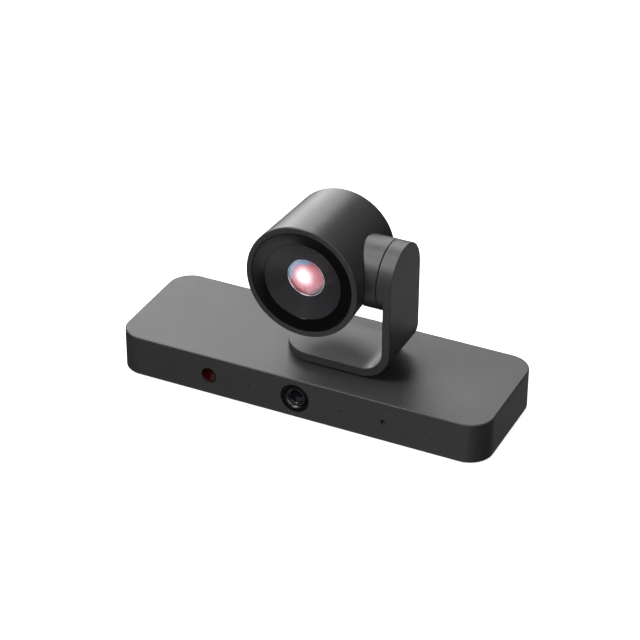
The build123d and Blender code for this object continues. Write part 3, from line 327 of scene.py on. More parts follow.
def graphite_housing():
    """Coarser stipple of the base bar."""
    return graphite("graphite_housing", 1500.0, 0.48, 0.060 * mm)


def graphite_smooth():
    """Smoother skin of the barrel and its cap."""
    return graphite("graphite_smooth", 2100.0, 0.37, 0.030 * mm)


def graphite_cast():
    """Painted casting of the yoke and the tilting hub."""
    return graphite("graphite_cast", 1900.0, 0.43, 0.040 * mm)


def satin_black():
    """Moulded black with a fine even grain."""
    board = Board("satin_black")
    place = board.place()
    grain = board.noise(place, 3800.0, 2.0)
    cloud = board.noise(place, 120.0, 2.0)
    shade = board.mix(cloud, faded(colours().satin, 0.75), faded(colours().satin, 1.3))
    return board.close({
        "Base Color": shade,
        "Roughness": 0.42 + cloud * 0.10,
        "Normal": board.relief(grain, 0.02 * mm),
    })


def dish_black():
    """Satin black of the dish round the lens, a little greyer, with brushing that runs round it."""
    board = Board("dish_black")
    centre = middle("lens_surround")
    across, _, up = board.axes(board.place(centre))
    radius = (across * across + up * up) ** 0.5
    line = board.noise(board.place(), 900.0, 2.0)
    rings = board.wave(radius * (2 * pi / (0.31 * mm)) + line * 2.0)
    shade = board.mix(line, faded(colours().satin, 1.2), faded(colours().satin, 1.9))
    return board.close({
        "Base Color": shade,
        "Roughness": 0.29 + line * 0.08,
        "Normal": board.relief(rings, 0.006 * mm),
    })


def gloss_black():
    """Polished black glass with the faintest haze and ripple."""
    board = Board("gloss_black")
    place = board.place()
    haze = board.noise(place, 160.0, 4.0)
    dust = board.step(board.noise(place, 2600.0, 1.0), 0.72, 0.80)
    return board.close({
        "Base Color": board.mix(dust, (0.003, 0.003, 0.0035), (0.02, 0.02, 0.022)),
        "Roughness": 0.15 + haze * 0.06 + dust * 0.1,
        "Normal": board.relief(haze, 0.004 * mm),
    })


def bowl_black():
    """Lacquered black of the wide lens's bowl, glossier than the band, with a faint haze."""
    board = Board("bowl_black")
    place = board.place()
    haze = board.noise(place, 300.0, 3.0)
    return board.close({
        "Base Color": board.mix(haze, (0.0015, 0.0015, 0.0018), (0.004, 0.004, 0.0045)),
        "Roughness": 0.26 + haze * 0.06,
        "IOR": 2.7,
        "Normal": board.relief(haze, 0.0008 * mm),
    })


def lip_black():
    """Deep satin black of the wide lens's lip, which hardly shines."""
    board = Board("lip_black")
    haze = board.noise(board.place(), 900.0, 3.0)
    return board.close({
        "Base Color": board.mix(haze, (0.001, 0.001, 0.0012), (0.003, 0.003, 0.0033)),
        "Roughness": 0.30 + haze * 0.12,
        "Specular IOR Level": 0.12,
        "Normal": board.relief(haze, 0.004 * mm),
    })


def clear_glass():
    """Clear lens glass with a faint violet coat and a little dust."""
    board = Board("clear_glass")
    place = board.place()
    dust = board.step(board.noise(place, 2400.0, 2.0), 0.74, 0.84)
    return board.close({
        "Base Color": board.mix(dust, (0.93, 0.90, 0.98), (0.7, 0.7, 0.7)),
        "Roughness": 0.01 + dust * 0.12,
        "Transmission Weight": 1.0,
        "IOR": 1.46,
        "Coat Weight": 0.3,
        "Coat Roughness": 0.02,
    })


def painted_reflection_glass():
    """Lens element whose colour is a painted reflection of the lamps on its coats, which glows though it is
    no lamp: a painted white hot spot, set a little to the upper left, painted rings from pink to dark red
    round it, a painted blue reflection as a crescent on the upper left, and painted shade that darkens the
    opposite edge."""
    board = Board("painted_reflection_glass")
    centre = middle("front_lens")
    reach = half_size("front_lens")[0]
    across, _, up = board.axes(board.place(centre))
    ripple = board.noise(board.place(), 300.0, 2.0)
    shift = 0.10 * reach
    # distance from the painted hot spot, which sits a little to the upper left
    glow = (((across + shift) / reach) ** 2.0 + ((up - shift) / reach) ** 2.0) ** 0.5
    # painted reflection: a white hot spot and rings from pink to dark red
    rings = board.ramp(glow + (ripple - 0.5) * 0.12, [
        (0.00, (1.00, 1.00, 1.00)),
        (0.32, (1.00, 0.97, 0.96)),
        (0.47, (0.84, 0.46, 0.46)),
        (0.62, (0.57, 0.17, 0.195)),
        (0.82, (0.43, 0.10, 0.12)),
        (1.00, (0.24, 0.06, 0.07)),
    ])
    # painted blue reflection on the upper left, and painted shade darkening the lower right
    lean = (up - across) / (reach * 1.414)
    sky = board.step(lean + (ripple - 0.5) * 0.2, 0.26, 0.66) * board.step(glow, 0.52, 0.74)
    painted_reflection_with_blue = board.mix(sky * 0.9, rings, (0.16, 0.34, 0.46))
    painted_shade_wedge = board.step(0.0 - lean, 0.72, 0.88)
    painted_lens_light = board.mix(painted_shade_wedge, painted_reflection_with_blue, (0.06, 0.003, 0.006))
    return board.close({
        "Base Color": board.mix(0.9, painted_lens_light, (0.01, 0.0, 0.002)),
        "Roughness": 0.10 + ripple * 0.05,
        # the painted reflection also glows, though the element is no lamp
        "Emission Color": painted_lens_light,
        "Emission Strength": 1.05,
    })


def dark_glass():
    """Nearly black lens glass with a violet and green tint that varies over it."""
    board = Board("dark_glass")
    cloud = board.noise(board.place(), 260.0, 2.0)
    return board.close({
        "Base Color": board.mix(cloud, (0.006, 0.003, 0.010), (0.002, 0.007, 0.006)),
        "Roughness": 0.14 + cloud * 0.10,
        "Specular IOR Level": 0.22,
    })


def ruby_filter_painted_glow():
    """Polished dark red filter with painted light: painted shade makes it nearly black on its upper left,
    painted light makes it redder towards the opposite edge, and it glows though it is no lamp.
    """
    board = Board("ruby_filter_painted_glow")
    centre = middle("infrared_window")
    reach = half_size("infrared_window")[0]
    across, _, up = board.axes(board.place(centre))
    swirl = board.noise(board.place(), 500.0, 3.0)
    # painted shade on the upper left and painted light towards the lower right
    lean = (across - up) / reach + (swirl - 0.5) * 0.5
    shade = board.mix(board.step(lean, -0.9, 0.9), faded(colours().ruby, 0.30), colours().ruby)
    return board.close({
        "Base Color": shade,
        "Roughness": 0.12 + swirl * 0.08,
        "Specular IOR Level": 0.2,
        # the painted light also glows, though the window is no lamp
        "Emission Color": shade,
        "Emission Strength": 0.4,
    })


def soft_rubber():
    """Matte rubber with a pitted skin and pale bloom."""
    board = Board("soft_rubber")
    place = board.place()
    pits = board.noise(place, 2600.0, 4.0)
    bloom = board.noise(place, 240.0, 3.0)
    return board.close({
        "Base Color": board.mix(board.step(bloom, 0.45, 0.75), (0.014, 0.014, 0.015), (0.034, 0.034, 0.035)),
        "Roughness": 0.72 + pits * 0.18,
        "Normal": board.relief(pits, 0.05 * mm),
    })


def bright_metal(name, colour, dull, roughness, scratch_scale):
    """Bare metal: fine scratches, dull patches and handling marks."""
    board = Board(name)
    place = board.place()
    scratches = board.node("ShaderNodeTexNoise", inputs={
        "Vector": board.node("ShaderNodeMapping", inputs={"Vector": place, "Scale": (1.0, 0.06, 1.0)}),
        "Scale": scratch_scale,
        "Detail": 3.0,
    })
    marks = board.noise(place, 180.0, 4.0)
    return board.close({
        "Base Color": board.mix(board.step(marks, 0.40, 0.72), colour, dull),
        "Metallic": 1.0,
        "Roughness": roughness + scratches * 0.14 + marks * 0.06,
        "Normal": board.relief(scratches, 0.006 * mm),
    })


def plated_steel():
    return bright_metal("plated_steel", (0.56, 0.57, 0.59), (0.40, 0.41, 0.43), 0.22, 3000.0)


def turned_brass():
    return bright_metal("turned_brass", (0.76, 0.58, 0.27), (0.55, 0.40, 0.18), 0.20, 3600.0)


def machined_aluminium():
    return bright_metal("machined_aluminium", (0.70, 0.71, 0.73), (0.55, 0.56, 0.58), 0.30, 2400.0)


def gold_plate():
    return bright_metal("gold_plate", (0.92, 0.70, 0.30), (0.75, 0.55, 0.24), 0.16, 4200.0)


def painted_highlight_rim():
    """Thin rim painted pale as a painted highlight, a little uneven, and glowing though it is no lamp, as if
    the light came through the glass beside it.
    """
    board = Board("painted_highlight_rim")
    cloud = board.noise(board.place(), 220.0, 2.0)
    # painted highlight: a pale colour that also glows
    shade = board.mix(board.step(cloud, 0.35, 0.65), (0.24, 0.25, 0.27), (0.62, 0.62, 0.64))
    return board.close({
        "Base Color": shade,
        "Roughness": 0.30 + cloud * 0.1,
        "Emission Color": shade,
        "Emission Strength": 0.55,
    })


def green_board():
    """Circuit board under its green mask: tracks show as raised cells between bare edges."""
    board = Board("green_board")
    place = board.place()
    tracks = board.step(board.cells(place, 420.0), 0.30, 0.42)
    weave = board.noise(place, 2200.0, 2.0)
    shade = board.mix(tracks, (0.010, 0.060, 0.026), (0.018, 0.105, 0.045))
    return board.close({
        "Base Color": board.mix(weave * 0.3, shade, (0.03, 0.13, 0.06)),
        "Roughness": 0.34 + weave * 0.12,
        "Normal": board.relief(tracks, 0.03 * mm),
    })


def moulded_chip():
    """Black epoxy of a chip, with a fine sandy skin."""
    board = Board("moulded_chip")
    place = board.place()
    sand = board.noise(place, 5200.0, 2.0)
    return board.close({
        "Base Color": board.mix(sand, (0.018, 0.018, 0.019), (0.040, 0.040, 0.041)),
        "Roughness": 0.55 + sand * 0.15,
        "Normal": board.relief(sand, 0.015 * mm),
    })


def natural_acetal():
    """Milky white bearing plastic with a waxy surface."""
    board = Board("natural_acetal")
    place = board.place()
    wax = board.noise(place, 320.0, 3.0)
    return board.close({
        "Base Color": board.mix(wax, (0.78, 0.77, 0.72), (0.66, 0.65, 0.60)),
        "Roughness": 0.36 + wax * 0.12,
        "Subsurface Weight": 0.15,
        "Normal": board.relief(wax, 0.01 * mm),
    })


def amber_film():
    """Amber film of a ribbon cable with its conductors as fine lines along it."""
    board = Board("amber_film")
    place = board.place()
    _, along, _ = board.axes(place)
    lines = board.step(board.wave(along * (2 * pi / (1.0 * mm))), 0.1, 0.5)
    return board.close({
        "Base Color": board.mix(lines, (0.46, 0.20, 0.04), (0.62, 0.32, 0.10)),
        "Roughness": 0.24 + board.noise(place, 300.0) * 0.12,
        "Normal": board.relief(lines, 0.02 * mm),
    })


def fine_mesh():
    """Dark woven screen: two crossed waves raise its threads."""
    board = Board("fine_mesh")
    across, _, up = board.axes(board.place())
    turns = 2 * pi / (0.22 * mm)
    thread = board.step(board.wave(across * turns) * board.wave(up * turns), -0.4, 0.6)
    return board.close({
        "Base Color": board.mix(thread, (0.002, 0.002, 0.002), (0.016, 0.016, 0.017)),
        "Roughness": 0.62 + thread * 0.12,
        "Normal": board.relief(thread, 0.03 * mm),
    })


def pale_floor():
    """White studio floor that glows a little, so that it stays pale and nearly shadowless."""
    board = Board("pale_floor")
    cloud = board.noise(board.place(), 3.0, 2.0)
    return board.close({
        "Base Color": board.mix(cloud, (0.82, 0.82, 0.82), (0.86, 0.86, 0.86)),
        "Roughness": 0.9,
        "Emission Color": (1.0, 1.0, 1.0, 1.0),
        "Emission Strength": bpy.context.scene.studio_settings.floor_glow,
    })


FINISHES = {}
MAKERS = (
    graphite_housing, graphite_smooth, graphite_cast, satin_black, dish_black, gloss_black,
    lip_black, clear_glass, painted_reflection_glass, dark_glass, bowl_black, ruby_filter_painted_glow, soft_rubber,
    plated_steel, turned_brass, machined_aluminium, gold_plate, painted_highlight_rim, green_board,
    moulded_chip, natural_acetal, amber_film, fine_mesh, pale_floor,
)
SLOT_FINISH = {
    "graphite_housing": "graphite_housing",
    "graphite_cast": "graphite_cast",
    "satin_black": "satin_black",
    "gloss_black": "gloss_black",
    "optical_glass": "dark_glass",
    "filter_red": "ruby_filter_painted_glow",
    "rubber_black": "soft_rubber",
    "brass_turned": "turned_brass",
    "steel": "plated_steel",
    "aluminium_plain": "machined_aluminium",
    "board_green": "green_board",
    "chip_black": "moulded_chip",
    "acetal_white": "natural_acetal",
    "film_orange": "amber_film",
}
NODE_FINISH = {
    "barrel_shell": "graphite_smooth",
    "barrel_rear_cap": "graphite_smooth",
    "tilt_hub": "graphite_cast",
}


# ---- Sizes and colours that a user may change ----
def length(name, description, default):
    """Property that holds a length in metres."""
    return FloatProperty(name=name, description=description, unit="LENGTH", default=default)


def power(name, description, default):
    """Property that holds a light's power in watts."""
    return FloatProperty(name=name, description=description, subtype="POWER", default=default)


class CameraColours(bpy.types.PropertyGroup):
    """Colours of the visible finishes."""

    graphite: FloatVectorProperty(
        name="Graphite", description="Colour of the housing, yoke and barrel", subtype="COLOR",
        default=(0.0480, 0.0475, 0.0475), min=0.0, max=1.0)
    satin: FloatVectorProperty(
        name="Satin black", description="Colour of the dish round the lens and of small trim",
        subtype="COLOR", default=(0.021, 0.021, 0.023), min=0.0, max=1.0)
    ruby: FloatVectorProperty(
        name="Ruby", description="Colour of the infrared window", subtype="COLOR",
        default=(0.034, 0.0003, 0.0014), min=0.0, max=1.0)


class ZoomLensSizes(bpy.types.PropertyGroup):
    """Sizes of the zoom lens's visible pieces."""

    crown: length("Crown", "How far the front element bulges", 2.2 * mm)
    glass_sheet: length("Glass", "Thickness of the front element", 0.7 * mm)
    element_gap: length("Air gap", "Gap between the front element and the coated one behind it", 0.2 * mm)
    grooves: IntProperty(name="Grooves", description="Turning marks on the dish", default=34, min=1)
    groove_depth: length("Groove depth", "Depth of the dish's turning marks", 0.03 * mm)
    band_edge: length("Band edge", "Rounding of the gloss band's edges", 0.35 * mm)
    rim_width: length("Rim", "Width of the pale rim round the front element", 0.34 * mm)


class WideLensSizes(bpy.types.PropertyGroup):
    """Sizes of the wide lens's visible pieces."""

    crown: length("Crown", "How far the front glass bulges", 1.3 * mm)
    bowl_radius: length("Bowl", "Radius of the bowl's mouth", 7.6 * mm)
    bowl_depth: length("Bowl depth", "Depth of the bowl round the glass", 2.6 * mm)
    bottom_radius: length("Bowl bottom", "Radius of the bowl's bottom", 4.9 * mm)
    lip_reach: length("Lip", "How far the lip covers the edge of its hole", 0.85 * mm)
    lip_stand: length("Lip stand", "How far the lip stands out of the front face", FRONT_STAND)
    ring_sheet: length("Ring", "Half the width of the ring round the glass", 0.22 * mm)


class TrimSizes(bpy.types.PropertyGroup):
    """Sizes of the bar's and the arm's small trim."""

    window_crown: length("Window crown", "How far the infrared window bulges", 0.35 * mm)
    window_rim: length("Window rim", "Width of the rim round the infrared window", 0.45 * mm)
    inner_microphone: length(
        "Inner microphones", "Distance of the inner microphones from the middle", 31.4 * mm)
    screen_radius: length("Screen", "Radius of each microphone's screen", 0.50 * mm)
    pad_ridges: IntProperty(name="Pad ridges", description="Rings under each foot", default=4, min=1)
    lid_stand: length("Lid stand", "How far the arm's lid stands out of its opening", 0.25 * mm)
    contacts: IntProperty(name="Contacts", description="Contacts in the network socket", default=8, min=1)
    contact_pitch: length("Contact pitch", "Distance between two contacts", 1.02 * mm)


class StudioSettings(bpy.types.PropertyGroup):
    """The camera that looks at the object, its lights and its floor."""

    viewpoint: FloatVectorProperty(
        name="Viewpoint", description="Place of the viewing camera", subtype="TRANSLATION",
        default=(0.51730, -1.09424, 0.79587))
    aim: FloatVectorProperty(
        name="Aim", description="Point in the middle of the view", subtype="TRANSLATION",
        default=(-0.00311, -0.00033, 0.04668))
    roll: FloatProperty(
        name="Roll", description="Turn of the viewing camera about its own axis", subtype="ANGLE",
        default=radians(0.3))
    focal_length: FloatProperty(
        name="Focal length", description="Focal length in millimetres on a 36 mm square sensor",
        default=129.27, min=1.0)
    wall_power: power("High wall", "Power of the broad light high behind on the left", 20.0)
    low_power: power("Low wall", "Power of the broad light low behind on the left", 12.0)
    top_power: power("Overhead", "Power of the soft light overhead", 9.5)
    key_power: power("Lip key", "Power of the light above in front that edges the barrel's lip", 10.0)
    strip_power: power("Front strip", "Power of the long light in front that makes the bowl gleam", 8.0)
    side_power: power("Side light", "Power of the light low behind on the right", 0.8)
    card_power: power(
        "Low card", "Power of the faint card below, which the band round the lens mirrors", 1.8)
    sky_strength: FloatProperty(
        name="Sky", description="Strength of the even light from all sides", default=0.03, min=0.0)
    floor_glow: FloatProperty(
        name="Floor glow", description="Light that the floor gives off", default=0.86, min=0.0)
    floor_size: length("Floor size", "Side of the square floor", 14.0)


# ---- Pieces ----
def make_round(name, profile, centre, body, slot, finish, loop=False, turns=TURNS):
    """Piece turned about an axis that runs into the front, from a profile of (radius, depth). A looped
    profile makes a ring."""
    grid = turned(profile, centre, INTO_FRONT, turns=turns)
    return make_piece(name, [grid], body, FINISHES[finish], loop=loop)


def make_ring(name, corners, cut, centre, body, slot, finish, turns=TURNS):
    """Ring whose outline has softened corners."""
    return make_round(name, rounded(corners, cut, loop=True), centre, body, slot, finish, True, turns)


def crowned(radius, crown, offset=0.0, steps=24):
    """Profile of a bulging face from its middle to its edge: depth = offset + crown * (r / R)^2."""
    r = np.linspace(0, 1, steps)
    return np.stack([r * radius, offset + crown * r**2], axis=1)


class FinishFrame(bpy.types.Operator):
    """Give each solid of the frame the finish of its slot, or its own where it has one"""

    bl_idname = "camera_build.finish_frame"
    bl_label = "Finish the frame"

    def execute(self, context):
        FINISHES.update({maker.__name__: maker() for maker in MAKERS})
        slots = {row["node"]: row["material_slot"] for row in frame["record"]["subparts"]}
        for name, node in frame["nodes"].items():
            finish = FINISHES[NODE_FINISH.get(name, SLOT_FINISH[slots[name]])]
            if not node.material_slots:
                node.data.materials.append(finish)
            for holder in node.material_slots:
                holder.material = finish
        return {"FINISHED"}


class BuildZoomLens(bpy.types.Operator):
    """Make the glass, rims, dish and gloss band of the zoom lens"""

    bl_idname = "camera_build.zoom_lens"
    bl_label = "Zoom lens"

    def execute(self, context):
        sizes = context.scene.zoom_lens_sizes
        self.make_glass(sizes)
        self.make_rims(sizes)
        self.make_dish(sizes)
        self.make_band(sizes)
        return {"FINISHED"}

    def make_glass(self, sizes):
        """Front element, a shell between two faces of the same bulge, and close behind it an element with a
        face of that bulge and a flat back, whose colour is the painted reflection and glow of the lens."""
        centre = front_point("front_lens")
        radius = half_size("front_lens")[0]
        front = crowned(radius, sizes.crown, steps=28)
        back = crowned(radius, sizes.crown, sizes.glass_sheet, steps=28)[::-1]
        profile = np.vstack([front, back])
        glass = make_round("front_element", profile, centre, "head", "optical_glass", "clear_glass")
        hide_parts("front_lens")
        edge_gap = 0.05 * mm
        flat_back = 4.7 * mm
        edge = radius - edge_gap
        face = crowned(edge, sizes.crown, sizes.glass_sheet + sizes.element_gap, steps=28)
        profile = np.vstack([face, [(edge, flat_back), (0, flat_back)]])
        make_round("painted_reflection_element", profile, centre, "head", "optical_glass", "painted_reflection_glass")

    def make_rims(self, sizes):
        """Retaining ring, whose face falls towards the glass, and a thin rim on its inner edge, painted pale
        and glowing as a painted highlight.
        """
        centre = front_point("lens_retainer")
        outer = half_size("lens_retainer")[0]
        deep = 2 * half_size("lens_retainer")[1]
        inner = half_size("front_lens")[0] + GLASS_CLEARANCE
        fall = 0.5 * mm
        corners = [(inner, fall), (outer, 0), (outer, deep), (inner, deep)]
        retainer = make_ring(
            "retaining_ring", corners, 0.15 * mm, centre, "head", "satin_black", "satin_black")
        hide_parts("lens_retainer")
        near = inner - GLASS_CLEARANCE / 2
        far = near + sizes.rim_width
        low_edge = 0.30 * mm
        high_edge = 0.10 * mm
        back = 0.70 * mm
        corners = [(near, low_edge), (far, high_edge), (far, back), (near, back)]
        make_ring("lens_rim", corners, 0.08 * mm, centre, "head", "satin_black", "painted_highlight_rim")

    def make_dish(self, sizes):
        """Dish round the lens: its depth falls evenly with radius, and grooves of |sin| form are cut into
        it from the retaining ring to the brim."""
        centre = front_point("lens_surround")
        deep = 2 * half_size("lens_surround")[1]
        foot = half_size("lens_surround")[0]
        foot_width = 1.2 * mm
        foot_depth = 1.0 * mm
        wall = 0.6 * mm
        wall_depth = 2.2 * mm
        fall = 5.2 * mm
        sheet = 2.0 * mm
        inner = half_size("lens_retainer")[0] + GLASS_CLEARANCE
        brim = foot - foot_width
        share = np.linspace(0, 1, 6 * sizes.grooves + 1)
        radius = inner + share * (brim - inner)
        groove = sizes.groove_depth * np.abs(np.sin(pi * share * sizes.grooves))
        front = np.stack([radius, (1 - share) * fall + groove], axis=1)
        behind = [(brim, foot_depth), (foot, foot_depth), (foot, deep), (brim - wall, deep),
                  (brim - wall, wall_depth), (inner, fall + sheet)]
        profile = np.vstack([front, behind])
        dish = make_round("lens_dish", profile, centre, "head", "satin_black", "dish_black", loop=True)
        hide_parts("lens_surround")

    def make_band(self, sizes):
        """Gloss band: a ring whose face slopes towards the lens and which covers the dish's foot."""
        centre = front_point("gloss_ring")
        outer = half_size("gloss_ring")[0]
        deep = 2 * half_size("gloss_ring")[1]
        cover = 1.10 * mm
        slope = 1.05 * mm
        inner = half_size("lens_surround")[0] - cover
        corners = [(inner, slope), (outer, 0), (outer, deep), (inner, deep)]
        band = make_ring(
            "gloss_band", corners, sizes.band_edge, centre, "head", "gloss_black", "gloss_black", turns=192)
        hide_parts("gloss_ring")


class BuildWideLens(bpy.types.Operator):
    """Make the bezel, lip, glass and ring of the fixed wide lens"""

    bl_idname = "camera_build.wide_lens"
    bl_label = "Wide lens"

    def execute(self, context):
        sizes = context.scene.wide_lens_sizes
        centre = front_point("wide_lens_bezel")
        self.make_bezel(sizes, centre)
        self.make_glass(sizes, centre)
        return {"FINISHED"}

    def make_bezel(self, sizes, centre):
        """Bezel: a flanged ring with a bowl inside it, whose radius falls as the cosine and whose depth
        grows as the sine of an angle from 0 to 80 degrees."""
        flange_width = 1.4 * mm
        flange_sheet = 1.8 * mm
        flange = half_size("wide_lens_bezel")[0]
        deep = 2 * half_size("wide_lens_bezel")[1]
        outer = flange - flange_width
        seat = deep - flange_sheet
        angle = np.linspace(radians(80), 0, 22)
        bowl = np.stack([
            sizes.bottom_radius + (sizes.bowl_radius - sizes.bottom_radius) * np.cos(angle),
            sizes.bowl_depth * np.sin(angle),
        ], axis=1)
        skirt = [(outer, 0), (outer, seat), (flange, seat), (flange, deep), (bowl[0][0], deep)]
        profile = np.vstack([bowl, skirt])
        bezel = make_round("wide_bezel", profile, centre, "base", "gloss_black", "bowl_black", loop=True)
        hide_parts("wide_lens_bezel")
        self.make_lip(sizes, centre, outer)

    def make_lip(self, sizes, centre, outer):
        """Lip before the bezel: it fills the hole as far back as the bezel and covers its edge."""
        recess = centre[1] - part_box("base_shell")[0][1]
        mouth = sizes.bowl_radius
        reach = outer + sizes.lip_reach
        stand = -sizes.lip_stand
        corners = [(mouth, stand), (reach, stand), (reach, 0), (outer, 0), (outer, recess), (mouth, recess)]
        front = centre - recess * INTO_FRONT
        make_ring("wide_lip", corners, 0.1 * mm, front, "base", "gloss_black", "lip_black")

    def make_glass(self, sizes, centre):
        """Dark domed glass in the bottom of the bowl, and near its edge a ring of round section, half
        sunk in it."""
        radius = half_size("wide_lens_front_glass")[0]
        top = 1.5 * mm
        bottom = 5.2 * mm
        profile = np.vstack([crowned(radius, sizes.crown, top), [(radius, bottom), (0, bottom)]])
        dome = make_round("wide_dome", profile, centre, "base", "optical_glass", "dark_glass")
        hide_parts("wide_lens_front_glass")
        ring_inset = 0.35 * mm
        ring_sink = 0.84 * sizes.crown
        angle = np.linspace(0, 2 * pi, 24, endpoint=False)
        section = np.stack([
            radius - ring_inset + sizes.ring_sheet * np.cos(angle),
            top + ring_sink + sizes.ring_sheet * np.sin(angle),
        ], axis=1)
        make_round("wide_ring", section, centre, "base", "gloss_black", "bowl_black", loop=True)


class BuildSignals(bpy.types.Operator):
    """Make the infrared window with its rim, the status light's lens and the microphones' screens"""

    bl_idname = "camera_build.signals"
    bl_label = "Window, light and microphones"

    def execute(self, context):
        sizes = context.scene.trim_sizes
        window_flange = (1.2 * mm, 0.9 * mm)
        light_flange = (0.8 * mm, 0.5 * mm)
        light_crown = 0.25 * mm
        ruby = ("filter_red", "ruby_filter_painted_glow")
        gloss = ("gloss_black", "gloss_black")
        self.make_plug("infrared_dome", "infrared_window", window_flange, sizes.window_crown, ruby)
        self.make_rim(sizes, window_flange[0])
        self.make_plug("status_lens", "status_light_pipe", light_flange, light_crown, gloss)
        self.make_screens(sizes)
        return {"FINISHED"}

    def make_plug(self, name, node, flange, crown, look):
        """Round plug with a bulging face and a flange, of a given width and sheet, inside the shell."""
        outer = half_size(node)[0]
        deep = 2 * half_size(node)[1]
        width, sheet = flange
        seat = deep - sheet
        body = [(outer - width, seat), (outer, seat), (outer, deep), (0, deep)]
        profile = np.vstack([crowned(outer - width, crown, steps=20), body])
        plug = make_round(name, profile, front_point(node), "base", *look)
        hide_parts(node)

    def make_rim(self, sizes, flange_width):
        """Thin flat rim round the infrared window, which covers the edge of its hole."""
        centre = front_point("infrared_window")
        centre[1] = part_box("base_shell")[0][1]
        hole = half_size("infrared_window")[0] - flange_width
        overlap = 0.15 * mm
        inner = hole - overlap
        outer = hole + sizes.window_rim
        corners = [(inner, -FRONT_STAND), (outer, -FRONT_STAND), (outer, 0), (inner, 0)]
        make_ring("window_rim", corners, 0.02 * mm, centre, "base", "gloss_black", "lip_black")

    def make_screens(self, sizes):
        """Four small bulging screens, one in each hole of the front face."""
        gasket_radius = half_size("microphone_gaskets")[2]
        outer_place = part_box("microphone_gaskets")[1][0] - gasket_radius
        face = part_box("base_shell")[0][1]
        height = middle("microphone_gaskets")[2]
        recess = 0.45 * mm
        back = 0.90 * mm
        dome = crowned(sizes.screen_radius, 0.12 * mm, recess, steps=6)
        profile = np.vstack([dome, [(sizes.screen_radius, back), (0, back)]])
        places = (-outer_place, -sizes.inner_microphone, sizes.inner_microphone, outer_place)
        grids = [turned(profile, np.array((x, face, height)), INTO_FRONT, turns=24) for x in places]
        make_piece("microphone_screens", grids, "base", FINISHES["fine_mesh"])


class BuildTrim(bpy.types.Operator):
    """Make the foot pads, the arm's lid and the network socket's contacts"""

    bl_idname = "camera_build.trim"
    bl_label = "Feet, lid and contacts"

    def execute(self, context):
        sizes = context.scene.trim_sizes
        self.make_pads(sizes)
        self.make_lid(sizes)
        self.make_contacts(sizes)
        return {"FINISHED"}

    def make_pads(self, sizes):
        """Four pads: discs whose soles rise in rings of (1 - cos) / 2 form, with softened sides."""
        low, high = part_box("rubber_feet")
        radius = 7.0 * mm
        side_width = 0.5 * mm
        ridge = 0.3 * mm
        tall = high[2] - low[2]
        share = np.linspace(0, 1, 12 * sizes.pad_ridges + 1)
        sole = np.stack([
            share * (radius - side_width),
            ridge * (1 - np.cos(2 * pi * share * sizes.pad_ridges)) / 2,
        ], axis=1)
        side = rounded([(radius - side_width, 0), (radius, 0), (radius, tall), (radius, tall)], 0.4 * mm)
        profile = np.vstack([sole, side[1:], [(0, tall)]])
        spots = [(x, y) for x in (low[0] + radius, high[0] - radius)
                 for y in (low[1] + radius, high[1] - radius)]
        grids = [turned(profile, np.array((x, y, low[2])), UP, turns=64) for x, y in spots]
        pads = make_piece("foot_pads", grids, "base", FINISHES["soft_rubber"])
        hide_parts("rubber_feet")

    def make_lid(self, sizes):
        """Lid of the arm's cable opening: a rounded oblong whose face bulges by crown * (r / R)^2 and whose
        edge bends back as a quarter circle's cosine."""
        low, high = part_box("arm_cable_cover")
        centre = middle("arm_cable_cover")
        centre[0] = low[0] - sizes.lid_stand
        half = half_size("arm_cable_cover")
        deep = high[0] - low[0] + sizes.lid_stand
        edge = 0.12
        crown = 0.10 * mm
        brow_depth = 0.35 * mm
        r = np.linspace(0, 1 - edge, 14)
        face = np.stack([r, crown * r**2], axis=1)
        bend = np.linspace(0, pi / 2, 7)
        brow = np.stack([1 - edge + edge * np.sin(bend), crown + brow_depth * (1 - np.cos(bend))], axis=1)
        profile = np.vstack([face, brow, [(1, deep), (0, deep)]])
        lid = make_piece(
            "arm_lid", [turned(profile, centre, INTO_ARM, (half[1], half[2]), squareness=7.0, turns=96)],
            "yoke", FINISHES["satin_black"])
        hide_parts("arm_cable_cover")

    def make_contacts(self, sizes):
        """Sprung contacts of the network socket: each rises from its bed as the sine of its share of the
        length and bends down at its tip."""
        low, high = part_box("network_socket")
        root = 11.0 * mm
        reach = 8.0 * mm
        bed = 3.0 * mm
        rise = 2.6 * mm
        share = np.linspace(0, 1, 16)
        along = high[1] - root + share * reach
        height = low[2] + bed + rise * np.sin(share * 0.78 * pi)
        offsets = (np.arange(sizes.contacts) - (sizes.contacts - 1) / 2) * sizes.contact_pitch
        places = middle("network_socket")[0] + offsets
        paths = [np.stack([np.full_like(share, x), along, height], axis=1) for x in places]
        grids = [strip(path, RIGHT, 0.2 * mm, 0.08 * mm) for path in paths]
        make_piece("network_contacts", grids, "base", FINISHES["gold_plate"])


